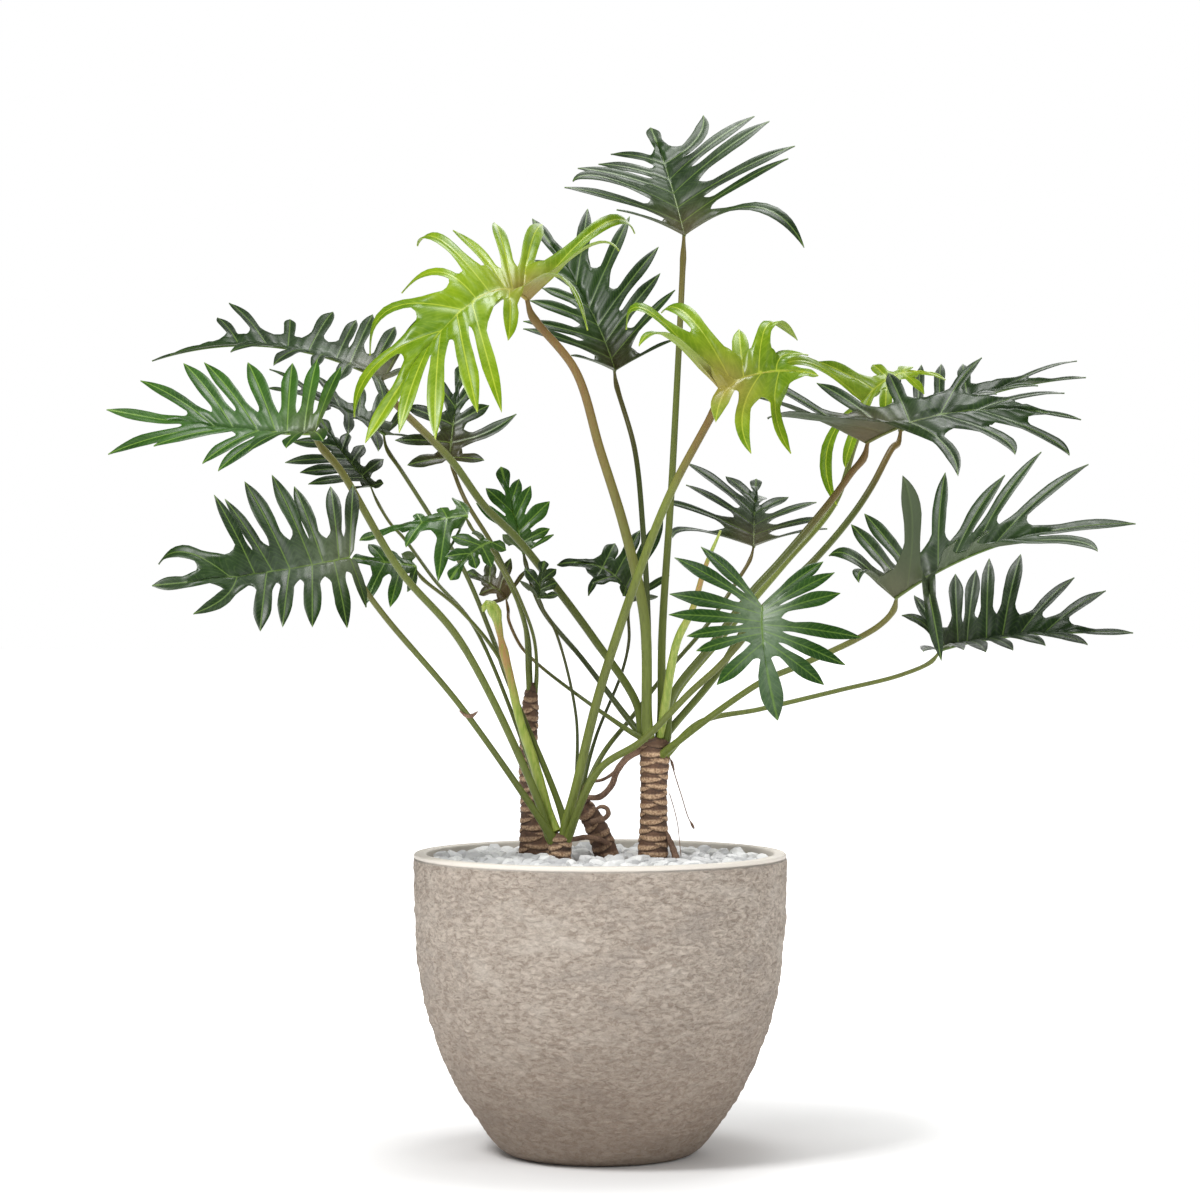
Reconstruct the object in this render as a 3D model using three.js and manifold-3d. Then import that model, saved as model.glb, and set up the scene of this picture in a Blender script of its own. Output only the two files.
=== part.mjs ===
// Potted xantal philodendron: a round stone-look planter filled with soil and pale gravel,
// four trunks, and deeply cut leaves on long stalks.
// Millimetres, +Z up. The origin is the middle of the pot's foot, on the ground.
import * as THREE from "three";
import { mergeVertices } from "three/addons/utils/BufferGeometryUtils.js";
import Module from "manifold-3d";

const wasm = await Module();
wasm.setup();

// The viewpoint that the outlines below are given from, level and in front of the pot
const VIEW_DISTANCE = 4000;
const VIEW_HEIGHT = 666;

// Pot
const POT_HEIGHT = 361;
const POT_RADIUS = 225;
const POT_TAPER = 0.48;
const POT_WALL = 15;
const POT_FLOOR = 26;
const POT_ROUNDING = 3;
const POT_SEGMENTS = 34;
const POT_INSIDE_HEIGHTS = [300, 210, 150, 90, 50];

// Fill
const GAP = 0.4;
const SEAT_GAP = 0.45;
const SOIL_TOP = 333;
const GRAVEL_LOW = 346;
const GRAVEL_HIGH = 354;
const GRAVEL_PITCH = 35;
const ROOT_DEPTH = 255;

// Stalks
const STALK_SIDES = 5;
const STALK_STEPS = 9;
const STALK_TOP_RADIUS = 1.9;
const NECK = 14;

// Blades: how far out the lobes part, where the last lobe starts, and the sheet's thickness
const SINUS = 0.22;
const STRAP_END = 0.69;
const LAST_LOBE = 0.78;
const ROOT_PITCH = 0.03;
const RIB_THICKNESS = 1.8;
const VEIN_THICKNESS = 1.3;
const EDGE_THICKNESS = 0.8;
const LOBE_ARCH = 0.1;
const LONGEST = 1.35;
const LEAST_TURN = 0.3;
const BASAL_ANGLE = 150;
const FRONT_ANGLE = 38;

// Colours
const COLOURS = {
  pot: 0xb3a899,
  soil: 0x3d2f26,
  gravel: 0xd9d8d4,
  bark: 0x7a5a45,
  root: 0x7d6350,
  stalk: 0x7f9045,
  dark: 0x2b3d1c,
  mid: 0x3f6420,
  lime: 0x7fa01f,
  sheath: 0xa8ab52,
};

// Crowns: the top of each trunk, its radius there, and the foot of its axis
const CROWNS = {
  right: { top: [66, 0, 500], radius: 17 },
  leftFront: { top: [-48, -30, 386], radius: 14.5 },
  leftBack: { top: [-84, 50, 565], radius: 9.5 },
  middle: { top: [-24, 25, 431], radius: 11 },
};

// Trunks: axis points from the root end up, each with its radius
const TRUNKS = {
  right: [
    [64, 0, ROOT_DEPTH, 12],
    [64, 0, 330, 17.5],
    [64, 0, 362, 18],
    [65, 0, 400, 16.2],
    [65, 0, 440, 15.6],
    [66, 0, 468, 17.4],
    [66, 0, 500, 17],
  ],
  leftFront: [
    [-48, -30, ROOT_DEPTH + 30, 9],
    [-48, -30, 340, 12.5],
    [-48, -30, 362, 13],
    [-48, -30, 386, 14.5],
  ],
  leftBack: [
    [-79, 50, ROOT_DEPTH, 13],
    [-79, 50, 340, 19],
    [-80, 50, 362, 19],
    [-82, 50, 410, 15],
    [-88, 50, 470, 11],
    [-86, 50, 520, 10],
    [-84, 50, 565, 9.5],
  ],
  middle: [
    [14, 25, ROOT_DEPTH + 30, 10],
    [10, 25, 340, 14.5],
    [6, 25, 362, 14.5],
    [-10, 25, 400, 12.5],
    [-24, 25, 420, 11.3],
    [-24, 25, 431, 11],
  ],
};
const TRUNK_SIDES = 8;
const SCAR_PITCH = 11;
const SCAR_HEIGHT = 0.9;

// Leaves. Places are read across and up from the viewpoint, at the pot's axis, and a third
// number is the depth behind the axis. seat: the direction round the crown in degrees, and the
// ring, 0 on top, 1 and 2 lower down. rib: a point halfway along the rib. face: which way the
// upper side looks. left and right: the lobes' tips from the base on, seen from the upper side
// with the apex up, some with a point that the lobe arches through. leftRoots, rightRoots: where
// they leave the rib, if not by the species' rule. last: where the lobe at the apex starts, tip:
// its half width, and sinus: how far out the lobes part, where they differ from the species' own.
// girth: the stalk's radius above its sheath and at its top.
// A stalk's places run evenly from its crown's depth to the hub's unless they name their own.
const LEAVES = [
  {
    name: "top", tone: "dark", crown: "right", seat: [45, 0], strap: 9, base: 5.6,
    hub: [102, 1107, 40], rib: [82, 1180, 120], apex: [61, 1237, 215], face: [0, -0.56, 0.83],
    left: [[20, 1138], [-43, 1165], [-33, 1172, 8, 1176], [-27, 1188], [-2, 1193], [13, 1205]],
    right: [[247, 1092, 188, 1141], [228, 1200], [236, 1215], [205, 1245], [187, 1251],
      [125, 1252, 116, 1222]],
    girth: [5, 3.5],
    stalk: [[75, 618], [87, 811]],
  },
  {
    name: "lime_left", tone: "lime", crown: "right", seat: [215, 0], strap: 10, base: 6.4,
    hub: [-86, 1028, -60], rib: [-165, 1018, -125], apex: [-284, 856, -230],
    face: [-0.1, -0.5, 0.86],
    left: [[23, 1088, -16, 1092], [-15, 992, -48, 1056], [-111, 980], [-119, 893], [-148, 892],
      [-199, 859], [-243, 868]],
    leftRoots: [0, 0.06, 0.18, 0.45, 0.54, 0.63, 0.69],
    right: [[42, 1109, 0, 1118], [-70, 1120, -84, 1096], [-128, 1122, -118, 1096], [-178, 1113],
      [-221, 1094, -192, 1100], [-240, 1037, -195, 1062], [-278, 962, -252, 1018],
      [-297, 887, -270, 950]],
    girth: [7, 4.8],
    stalk: [[54, 642], [30, 751], [0, 848], [-30, 944]],
  },
  {
    name: "back_fan", tone: "dark", crown: "right", seat: [130, 0], strap: 8.5, base: 5,
    hub: [18, 943, 150], rib: [-18, 1028, 205], apex: [-82, 1127, 280], face: [0.1, -0.77, 0.63],
    left: [[-35, 962], [-93, 994], [-93, 1003], [-85, 1028], [-70, 1043], [-86, 1077]],
    right: [[90, 981], [91, 1041], [73, 1061], [71, 1093], [36, 1130], [-15, 1139]],
    girth: [4, 3], sinus: 0.3,
    stalk: [[58, 640], [52, 751], [42, 848]],
  },
  {
    name: "right_upper", tone: "dark", crown: "right", seat: [355, 1], strap: 9, base: 4.8,
    hub: [321, 856, 25], rib: [440, 894, 15], apex: [582, 884, -15], face: [-0.1, -0.3, 0.95],
    left: [[181, 939], [262, 928], [349, 940], [462, 959], [562, 916]],
    right: [[186, 912], [203, 885, 245, 888], [433, 816, 418, 852], [502, 842, 478, 866],
      [568, 841, 530, 868]],
    girth: [4.8, 4.2], sinus: 0.28,
    stalk: [[86, 547], [137, 614], [184, 676], [217, 712], [281, 788], [305, 821]],
  },
  {
    name: "right_far", tone: "dark", crown: "right", seat: [50, 1], strap: 8, base: 4.6,
    hub: [361, 870, 300], rib: [470, 915, 315], apex: [588, 935, 335], face: [-0.1, -0.3, 0.95],
    left: [[364, 949], [389, 950], [413, 951], [439, 951], [577, 955]],
    right: [[400, 905], [430, 905], [480, 915], [530, 925]],
    girth: [4.6, 4.2],
    stalk: [[138, 572], [184, 642], [261, 716], [305, 768], [329, 804], [353, 849]],
  },
  {
    name: "right_middle", tone: "dark", crown: "right", seat: [307, 2], strap: 9.5, base: 4.8,
    hub: [356, 668, -190], rib: [490, 735, -190], apex: [648, 758, -200], face: [0.1, -0.45, 0.9],
    left: [[277, 719, 308, 716], [304, 757], [320, 770], [418, 820], [490, 817], [534, 845],
      [591, 830]],
    right: [[313, 687, 322, 700], [366, 816, 378, 760], [413, 592, 403, 650], [432, 738],
      [470, 748], [602, 725, 560, 738]],
    girth: [4, 3.4], last: 0.6, tip: 13,
    stalk: [[194, 566], [242, 587], [309, 618], [339, 636]],
  },
  {
    name: "right_low", tone: "dark", crown: "right", seat: [340, 2], strap: 9, base: 4.6,
    hub: [409, 605, -40], rib: [505, 623, -35], apex: [645, 626, -50], face: [0, -0.4, 0.92],
    left: [[365, 647, 392, 636], [380, 671], [430, 697], [455, 702], [471, 716], [509, 721],
      [574, 693], [612, 677]],
    right: [[391, 604], [440, 606], [467, 603], [500, 605], [539, 611], [590, 612]],
    girth: [3.2, 2.5], sinus: 0.24,
    stalk: [[121, 518], [194, 534], [290, 557], [363, 575]],
  },
  {
    name: "right_small", tone: "dark", crown: "leftFront", seat: [52, 1], strap: 8, base: 4.4,
    hub: [186, 731, 245], rib: [187, 778, 320], apex: [189, 812, 395], face: [0, -0.45, 0.9],
    left: [[88, 741, 112, 751], [78, 783, 118, 774], [104, 805], [104, 832], [152, 815]],
    right: [[275, 752], [272, 764], [262, 784], [228, 790], [199, 790]],
    girth: [3, 2.4],
    stalk: [[0, 474, 4], [40, 526, 48], [80, 578, 75], [125, 630, 110], [166, 689, 185]],
  },
  {
    name: "front", tone: "mid", crown: "leftFront", seat: [320, 1], strap: 9, base: 4.8,
    hub: [196, 657, -225], rib: [199, 600, -245], apex: [215, 520, -255], face: [0, -0.97, 0.2],
    left: [[270, 712], [284, 699], [291, 674], [317, 620], [297, 587], [271, 563]],
    right: [[122, 730], [90, 717], [84, 673], [83, 648], [105, 622], [116, 604], [141, 563]],
    girth: [4.6, 3.6], last: 0.51, tip: 13,
    stalk: [[0, 462], [50, 495], [109, 554], [144, 586], [174, 620]],
  },
  {
    name: "lime_far", tone: "lime", crown: "right", seat: [22, 1], strap: 9, base: 4.8,
    hub: [318, 905, 190], rib: [365, 940, 200], apex: [418, 932, 215], face: [-0.1, -0.4, 0.9],
    left: [[215, 942, 255, 952], [264, 954], [330, 950], [372, 948]],
    right: [[287, 780, 276, 850], [297, 826, 307, 864], [345, 880], [392, 915]],
    girth: [4.4, 3.6],
    stalk: [[88, 545], [140, 612], [220, 706], [285, 785, 180], [307, 850, 205]],
  },
  {
    name: "left_top", tone: "dark", crown: "right", seat: [176, 1], strap: 8.5, base: 5,
    hub: [-262, 932, 115], rib: [-400, 973, 120], apex: [-542, 955, 105], face: [-0.1, -0.2, 0.97],
    left: [[-225, 945], [-262, 905], [-318, 930], [-348, 944], [-395, 950], [-447, 966],
      [-520, 962]],
    right: [[-219, 1008], [-248, 996], [-275, 1011], [-295, 1004], [-323, 1014], [-375, 1005],
      [-449, 1025], [-463, 1007]],
    girth: [5, 4.6],
    stalk: [[44, 541], [-8, 620], [-60, 690], [-100, 740], [-140, 780], [-180, 835]],
  },
  {
    name: "left_long", tone: "mid", crown: "leftFront", seat: [185, 1], strap: 10, base: 5.2,
    hub: [-345, 868, -70], rib: [-462, 874, -60], apex: [-597, 896, -60], face: [0, -0.6, 0.8],
    left: [[-335, 858], [-380, 850], [-425, 846], [-462, 822], [-481, 831], [-540, 852],
      [-595, 842]],
    right: [[-313, 948], [-342, 956], [-372, 952], [-426, 953], [-479, 953], [-504, 952],
      [-556, 931]],
    girth: [4.5, 4.5], last: 0.66, tip: 11,
    stalk: [[-73, 419], [-169, 616], [-242, 702], [-314, 823]],
  },
  {
    name: "left_low", tone: "dark", crown: "leftFront", seat: [219, 1], strap: 9.5, base: 5,
    hub: [-303, 717, -200], rib: [-415, 697, -225], apex: [-542, 683, -240], face: [0, -0.8, 0.6],
    left: [[-283, 657], [-306, 632], [-348, 633], [-384, 633], [-411, 628],
      [-492, 649, -455, 668]],
    right: [[-299, 805], [-326, 803], [-370, 803], [-397, 817], [-430, 809], [-454, 788],
      [-467, 793], [-534, 709, -500, 723]],
    girth: [3.7, 3.4], sinus: 0.26,
    stalk: [[-169, 538], [-257, 642], [-284, 678]],
  },
  {
    name: "left_inner", tone: "mid", crown: "leftFront", seat: [152, 1], strap: 8, base: 4,
    hub: [-222, 706, 30], rib: [-264, 712, 25], apex: [-300, 716, 20], face: [0.1, -0.7, 0.7],
    left: [[-233, 676], [-254, 657], [-284, 660]],
    right: [[-240, 722], [-262, 727], [-280, 733]],
    girth: [2.7, 2.2], sinus: 0.3,
    stalk: [[-114, 581], [-169, 654]],
  },
  {
    name: "lime_centre", tone: "lime", crown: "leftFront", seat: [325, 0], strap: 10, base: 5.6,
    hub: [145, 921, -105], rib: [205, 942, -90], apex: [264, 937, -80], face: [-0.1, -0.5, 0.86],
    left: [[32, 993, 60, 1014], [74, 1013, 108, 1008], [168, 993], [239, 980, 204, 999],
      [252, 962, 222, 961]],
    right: [[47, 973, 84, 984], [140, 881, 150, 915], [183, 843, 172, 890], [231, 843, 212, 890]],
    rightRoots: [0, 0.2, 0.42, 0.6],
    girth: [6, 4.6], sinus: 0.3,
    stalk: [[-30, 436], [0, 557], [48, 702], [87, 799]],
  },
  {
    name: "centre_green", tone: "mid", crown: "right", seat: [145, 1], strap: 9, base: 4.6,
    hub: [-92, 722, 150], rib: [-106, 775, 165], apex: [-120, 827, 180], face: [0.1, -0.9, 0.35],
    left: [[-118, 745], [-150, 783], [-138, 801]],
    right: [[-56, 745], [-61, 752], [-61, 785], [-84, 804], [-98, 812]],
    girth: [3.7, 2.6], sinus: 0.34,
    stalk: [[31, 526], [-20, 593], [-70, 655]],
  },
  {
    name: "centre_dark", tone: "dark", crown: "middle", seat: [60, 0], strap: 9, base: 3.6,
    hub: [38, 664, 150], rib: [4, 704, 165], apex: [-52, 708, 185], face: [0.1, -0.6, 0.8],
    left: [[70, 670], [28, 671], [-9, 686], [-14, 671]],
    right: [[84, 696], [76, 764], [48, 750], [18, 734]],
    girth: [2.1, 1.9], sinus: 0.3,
    stalk: [[-5, 500], [27, 580], [35, 617]],
  },
  {
    name: "left_fan", tone: "dark", crown: "leftBack", seat: [110, 0], strap: 8.5, base: 3.6,
    hub: [-182, 838, 135], rib: [-175, 897, 160], apex: [-166, 951, 190], face: [0, -0.85, 0.5],
    left: [[-233, 829], [-248, 859], [-235, 900], [-204, 936]],
    right: [[-140, 835], [-101, 891, -138, 868], [-134, 901], [-150, 928]],
    girth: [3.2, 2.6],
    stalk: [[-87, 618], [-100, 666], [-127, 727], [-163, 787]],
  },
  {
    name: "left_flat", tone: "dark", crown: "leftFront", seat: [62, 0], strap: 8, base: 4.4,
    hub: [-259, 866, 215], rib: [-330, 904, 215], apex: [-402, 922, 205], face: [0, -0.35, 0.93],
    left: [[-225, 860], [-268, 846], [-305, 866], [-336, 893]],
    right: [[-228, 905], [-262, 918], [-290, 927], [-345, 938], [-400, 945]],
    girth: [3.4, 2.6],
    stalk: [[-112, 570, 28], [-130, 620], [-165, 703], [-206, 769], [-240, 822]],
  },
  {
    name: "left_back", tone: "dark", crown: "leftFront", seat: [118, 1], strap: 8, base: 4.2,
    hub: [-276, 803, 240], rib: [-312, 845, 265], apex: [-338, 885, 290], face: [0, -0.8, 0.6],
    left: [[-300, 800], [-353, 806], [-363, 820], [-381, 832], [-372, 857]],
    right: [[-262, 807], [-262, 836], [-286, 853], [-305, 868]],
    girth: [2.6, 2],
    stalk: [[-150, 630, 65], [-200, 690, 110], [-235, 738, 160], [-256, 762, 215]],
  },
  {
    name: "young_left", tone: "mid", crown: "leftBack", seat: [230, 0], strap: 8, base: 3.6,
    hub: [-160, 768, 15], rib: [-222, 757, -5], apex: [-291, 738, -30], face: [0, -0.6, 0.8],
    left: [[-188, 716], [-196, 688], [-235, 730]],
    right: [[-178, 789], [-193, 777], [-222, 770]],
    girth: [2.6, 2], sinus: 0.3,
    stalk: [[-92, 640], [-112, 690], [-140, 735]],
  },
  {
    name: "glossy", tone: "mid", crown: "leftBack", seat: [350, 0], strap: 8, base: 3.4,
    hub: [-132, 736, -45], rib: [-158, 720, -55], apex: [-181, 690, -65], face: [0.1, -0.9, 0.4],
    left: [[-114, 726], [-131, 706], [-150, 704]],
    right: [[-155, 747], [-180, 742], [-187, 718]],
    girth: [2.2, 1.9], sinus: 0.3,
    stalk: [[-80, 620], [-96, 665], [-108, 690]],
  },
  {
    name: "brown_stalk", tone: "dark", crown: "right", seat: [225, 1], strap: 7.5, base: 4,
    hub: [-112, 668, 130], rib: [-136, 686, 145], apex: [-161, 700, 160], face: [0, -0.8, 0.6],
    left: [[-128, 662], [-146, 672]],
    right: [[-88, 703], [-108, 716], [-132, 713]],
    girth: [2.5, 1.9], sinus: 0.3,
    stalk: [[38, 506], [-20, 546, 20], [-79, 592, 85], [-97, 612, 105], [-110, 640]],
  },
  {
    name: "tiny", tone: "dark", crown: "middle", seat: [240, 0], strap: 7, base: 3.2,
    hub: [-74, 668, 20], rib: [-72, 690, 28], apex: [-67, 713, 36], face: [0, -0.9, 0.4],
    left: [[-97, 689], [-91, 704]],
    right: [[-50, 672], [-52, 687], [-53, 703]],
    girth: [1.9, 1.7], sinus: 0.3,
    stalk: [[-29, 526], [-53, 626]],
  },
];

// Other stems and roots: points across, up and deep, each with the radius there
const YOUNG_SHOOT = [
  [-56.5, 388, -27, 5],
  [-63, 410, -20, 6.5],
  [-80, 470, -12, 6.2],
  [-97, 521, -8, 5.2],
  [-112, 585, -4, 4.6],
  [-119, 620, -2, 3.8],
  [-124, 641, 0, 5.5],
  [-130, 655, 0, 9],
  [-133, 664, 0, 5],
];
const ROLLED_LEAF = [
  [75, 503, -8, 4],
  [77, 526, -14, 5.6],
  [93, 615, -34, 5],
  [112, 655, -46, 4],
  [127, 705, -58, 3],
  [146, 750, -70, 1.6],
];
const AERIAL_ROOTS = {
  upper: [
    [46, 482, -4, 3.6],
    [34, 476, -8, 4],
    [21, 460, -6, 4],
    [14, 442, 0, 3.8],
    [0, 428, 7, 3.8],
    [-14, 427, 9.2, 3.4],
    [-27, 428, 9.2, 3],
  ],
  curl: [
    [-10, 397, 10, 2.8],
    [-12, 398, 1, 3],
    [-7, 399, -6, 3.2],
    [4, 401, -8, 3.2],
    [11, 408, -5, 3],
    [5, 415, -1, 2.6],
    [-5, 414, 0, 2],
  ],
  low: [
    [-29.5, 377, -20, 3.2],
    [-15, 379, -2, 3.4],
    [0, 376, 5.4, 3.4],
    [14, 369, 8, 3],
  ],
};
const ROOT_SIDES = 6;

const UP = new THREE.Vector3(0, 0, 1);

function point(list) {
  return new THREE.Vector3(list[0], list[1], list[2]);
}

// The place that is seen across and up at the pot's axis, moved back along its line of sight
function front(across, up, depth) {
  const scale = (VIEW_DISTANCE + depth) / VIEW_DISTANCE;
  return new THREE.Vector3(across * scale, depth, VIEW_HEIGHT + (up - VIEW_HEIGHT) * scale);
}

function mix(a, b, share) {
  return a.clone().lerp(b, share);
}

// What is left of a vector without its part along a direction, one unit long
function across(vector, direction) {
  return vector.clone().addScaledVector(direction, -vector.dot(direction)).normalize();
}

function meshGeometry(points, triangles) {
  const geometry = new THREE.BufferGeometry();
  const flat = points.flatMap((p) => [p.x, p.y, p.z]);
  geometry.setAttribute("position", new THREE.Float32BufferAttribute(flat, 3));
  geometry.setIndex(triangles.flat());
  return geometry;
}

function evenShares(steps) {
  return Array.from({ length: steps + 1 }, (_, step) => step / steps);
}

// A closed tube along a curve, with rings at the given shares of its length, flat ends, and a
// radius that is a function of that share
function closedTube(curve, shares, sides, radiusAt) {
  const points = [];
  const triangles = [];
  let sideways = new THREE.Vector3(1, 0.3, 0.1);
  shares.forEach((share) => {
    const centre = curve.getPointAt(share);
    const tangent = curve.getTangentAt(share);
    sideways = across(sideways, tangent);
    const other = tangent.clone().cross(sideways);
    for (let side = 0; side < sides; side += 1) {
      const angle = (side / sides) * 2 * Math.PI;
      points.push(centre.clone()
        .addScaledVector(sideways, Math.cos(angle) * radiusAt(share))
        .addScaledVector(other, Math.sin(angle) * radiusAt(share)));
    }
  });
  const steps = shares.length - 1;
  for (let step = 0; step < steps; step += 1) {
    for (let side = 0; side < sides; side += 1) {
      const a = step * sides + side;
      const b = step * sides + ((side + 1) % sides);
      triangles.push([a, b, b + sides], [a, b + sides, a + sides]);
    }
  }
  const last = steps * sides;
  for (let side = 1; side < sides - 1; side += 1) {
    triangles.push([0, side + 1, side], [last, last + side, last + side + 1]);
  }
  return meshGeometry(points, triangles);
}

// A tube through listed points that carry their own radius, each grown by a margin
function tubeThrough(list, places, steps, sides, margin = 0) {
  const curve = new THREE.CatmullRomCurve3(places, false, "centripetal");
  const radiusAt = (share) => {
    const along = curve.getUtoTmapping(share) * (list.length - 1);
    const index = Math.min(Math.floor(along), list.length - 2);
    const inside = along - index;
    return list[index][3] * (1 - inside) + list[index + 1][3] * inside + margin;
  };
  return closedTube(curve, evenShares(steps), sides, radiusAt);
}

// A closed mesh as a solid for joining and cutting, and back again
function toSolid(geometry) {
  const bare = geometry.clone();
  bare.deleteAttribute("normal");
  bare.deleteAttribute("uv");
  const merged = mergeVertices(bare, 1e-4);
  const mesh = new wasm.Mesh({
    numProp: 3,
    vertProperties: Float32Array.from(merged.attributes.position.array),
    triVerts: Uint32Array.from(merged.index.array),
  });
  return new wasm.Manifold(mesh);
}

function fromSolid(solid) {
  const mesh = solid.getMesh();
  const geometry = new THREE.BufferGeometry();
  geometry.setAttribute("position", new THREE.BufferAttribute(mesh.vertProperties, 3));
  geometry.setIndex(new THREE.BufferAttribute(mesh.triVerts, 1));
  return geometry;
}

function lathe(profile, segments) {
  const points = profile.map(([radius, height]) => new THREE.Vector2(radius, height));
  return new THREE.LatheGeometry(points, segments).rotateX(Math.PI / 2);
}

function potRadius(z) {
  return POT_RADIUS * (1 - POT_TAPER * (1 - z / POT_HEIGHT) ** 3);
}

function potGeometry() {
  const outside = [10, 30, 60, 100, 150, 210, 280, 330];
  const rim = POT_HEIGHT - POT_ROUNDING;
  const inner = POT_RADIUS - POT_WALL;
  return lathe([
    [0, 0],
    [potRadius(0) - 6, 0],
    [potRadius(0) + 2, 4],
    ...outside.map((z) => [potRadius(z), z]),
    [POT_RADIUS, rim],
    [POT_RADIUS - POT_ROUNDING, POT_HEIGHT],
    [inner + POT_ROUNDING, POT_HEIGHT],
    [inner, rim],
    ...POT_INSIDE_HEIGHTS.map((z) => [potRadius(z) - POT_WALL, z]),
    [potRadius(POT_FLOOR) - POT_WALL - 8, POT_FLOOR],
    [0, POT_FLOOR],
  ], POT_SEGMENTS);
}

function trunkCurve(name) {
  return new THREE.CatmullRomCurve3(TRUNKS[name].map(point), false, "centripetal");
}

// A trunk with the low ridges that fallen leaves left round it
function trunkGeometry(name) {
  const list = TRUNKS[name];
  const curve = trunkCurve(name);
  const steps = Math.round(curve.getLength() / (SCAR_PITCH / 1.1));
  const low = SOIL_TOP + 15;
  const radiusAt = (share) => {
    const along = curve.getUtoTmapping(share) * (list.length - 1);
    const index = Math.min(Math.floor(along), list.length - 2);
    const plain = THREE.MathUtils.lerp(list[index][3], list[index + 1][3], along - index);
    const height = curve.getPointAt(share).z;
    const ridge = Math.round(share * steps) % 2 === 0 ? SCAR_HEIGHT : -SCAR_HEIGHT;
    return height > low && share < 1 ? plain + ridge : plain;
  };
  return closedTube(curve, evenShares(steps), TRUNK_SIDES, radiusAt);
}

// The plain hole that a trunk stands in
function trunkHole(name) {
  const list = TRUNKS[name];
  const places = list.map(point);
  places[0].z -= GAP;
  const margin = SCAR_HEIGHT + 2 * GAP;
  return toSolid(tubeThrough(list, places, 9, TRUNK_SIDES, margin));
}

function cutTrunkHoles(solid) {
  return Object.keys(TRUNKS).reduce((rest, name) => rest.subtract(trunkHole(name)), solid);
}

function soilGeometry() {
  const inner = POT_WALL + GAP + 0.2;
  const solid = toSolid(lathe([
    [0, POT_FLOOR + GAP],
    [potRadius(POT_FLOOR) - inner - 8, POT_FLOOR + GAP],
    ...POT_INSIDE_HEIGHTS.map((z) => [potRadius(z) - inner, z]).reverse(),
    [potRadius(SOIL_TOP) - inner, SOIL_TOP],
    [0, SOIL_TOP],
  ], POT_SEGMENTS));
  return fromSolid(cutTrunkHoles(solid));
}

// A repeatable random number from 0 to 1 for each whole number
function draw(seed) {
  const value = Math.sin(seed * 127.1 + 311.7) * 43758.5453;
  return value - Math.floor(value);
}

// The gravel as one bed: a hexagon of low ground round each stone, and a tilted three-cornered
// top on it, cut to the pot's inside
function gravelGeometry() {
  const radius = POT_RADIUS - POT_WALL - 2 * GAP;
  const rows = Math.ceil(radius / GRAVEL_PITCH) + 1;
  const rise = GRAVEL_PITCH * Math.sqrt(0.75);
  const corner = GRAVEL_PITCH / Math.sqrt(3);
  const corners = new Map();
  const points = [];
  const triangles = [];
  const floor = SOIL_TOP - 5;
  const cornerIndex = (x, y) => {
    const key = `${Math.round(x + 0.2)},${Math.round(y + 0.2)}`;
    if (!corners.has(key)) {
      const seed = corners.size + 1;
      corners.set(key, points.length);
      points.push(new THREE.Vector3(
        x + 5 * (draw(seed) - 0.5),
        y + 5 * (draw(seed + 0.3) - 0.5),
        GRAVEL_LOW + 3 * draw(seed + 0.6),
      ));
    }
    return corners.get(key);
  };
  let stone = 1000;
  for (let row = -rows; row <= rows; row += 1) {
    for (let column = -rows; column <= rows; column += 1) {
      const x = (column + (row % 2 === 0 ? 0 : 0.5)) * GRAVEL_PITCH;
      const y = row * rise;
      stone += 1;
      if (Math.hypot(x, y) > radius + GRAVEL_PITCH * 1.2) {
        continue;
      }
      const ring = [];
      for (let side = 0; side < 6; side += 1) {
        const angle = (side + 0.5) * (Math.PI / 3);
        ring.push(cornerIndex(x + corner * Math.cos(angle), y + corner * Math.sin(angle)));
      }
      const turn = draw(stone) * 2 * Math.PI;
      const top = [];
      for (let side = 0; side < 3; side += 1) {
        const angle = turn + side * ((2 * Math.PI) / 3);
        const reach = corner * (0.42 + 0.2 * draw(stone + side * 0.1));
        top.push(points.length);
        points.push(new THREE.Vector3(
          x + reach * Math.cos(angle),
          y + reach * Math.sin(angle),
          GRAVEL_HIGH + 6 * draw(stone + 0.7 + side * 0.1),
        ));
      }
      triangles.push([top[0], top[1], top[2]]);
      // Each side of the top reaches the low corners that lie in its direction
      const first = Math.round((turn - Math.PI / 6) / (Math.PI / 3));
      for (let side = 0; side < 3; side += 1) {
        const low = [0, 1, 2].map((step) => ring[(((first + side * 2 + step) % 6) + 6) % 6]);
        const next = top[(side + 1) % 3];
        triangles.push([top[side], low[0], low[1]], [top[side], low[1], next]);
        triangles.push([next, low[1], low[2]]);
      }
    }
  }
  const count = points.length;
  const below = points.map((p) => new THREE.Vector3(p.x, p.y, floor));
  const walls = wallTriangles(triangles, count);
  const lower = triangles.map(([a, b, c]) => [a + count, c + count, b + count]);
  const slab = toSolid(meshGeometry([...points, ...below], [...triangles, ...lower, ...walls]));
  const bed = toSolid(lathe([
    [0, SOIL_TOP + GAP],
    [radius, SOIL_TOP + GAP],
    [radius, POT_HEIGHT + 10],
    [0, POT_HEIGHT + 10],
  ], POT_SEGMENTS));
  return fromSolid(cutTrunkHoles(slab.intersect(bed)));
}

// Walls between an upper sheet's open edges and the same edges of the sheet below, whose points
// come count later
function wallTriangles(triangles, count) {
  const edges = new Set();
  triangles.forEach(([a, b, c]) => {
    edges.add(`${a},${b}`);
    edges.add(`${b},${c}`);
    edges.add(`${c},${a}`);
  });
  const walls = [];
  edges.forEach((edge) => {
    const [a, b] = edge.split(",").map(Number);
    if (!edges.has(`${b},${a}`)) {
      walls.push([b, a, a + count], [b, a + count, b + count]);
    }
  });
  return walls;
}

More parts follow.
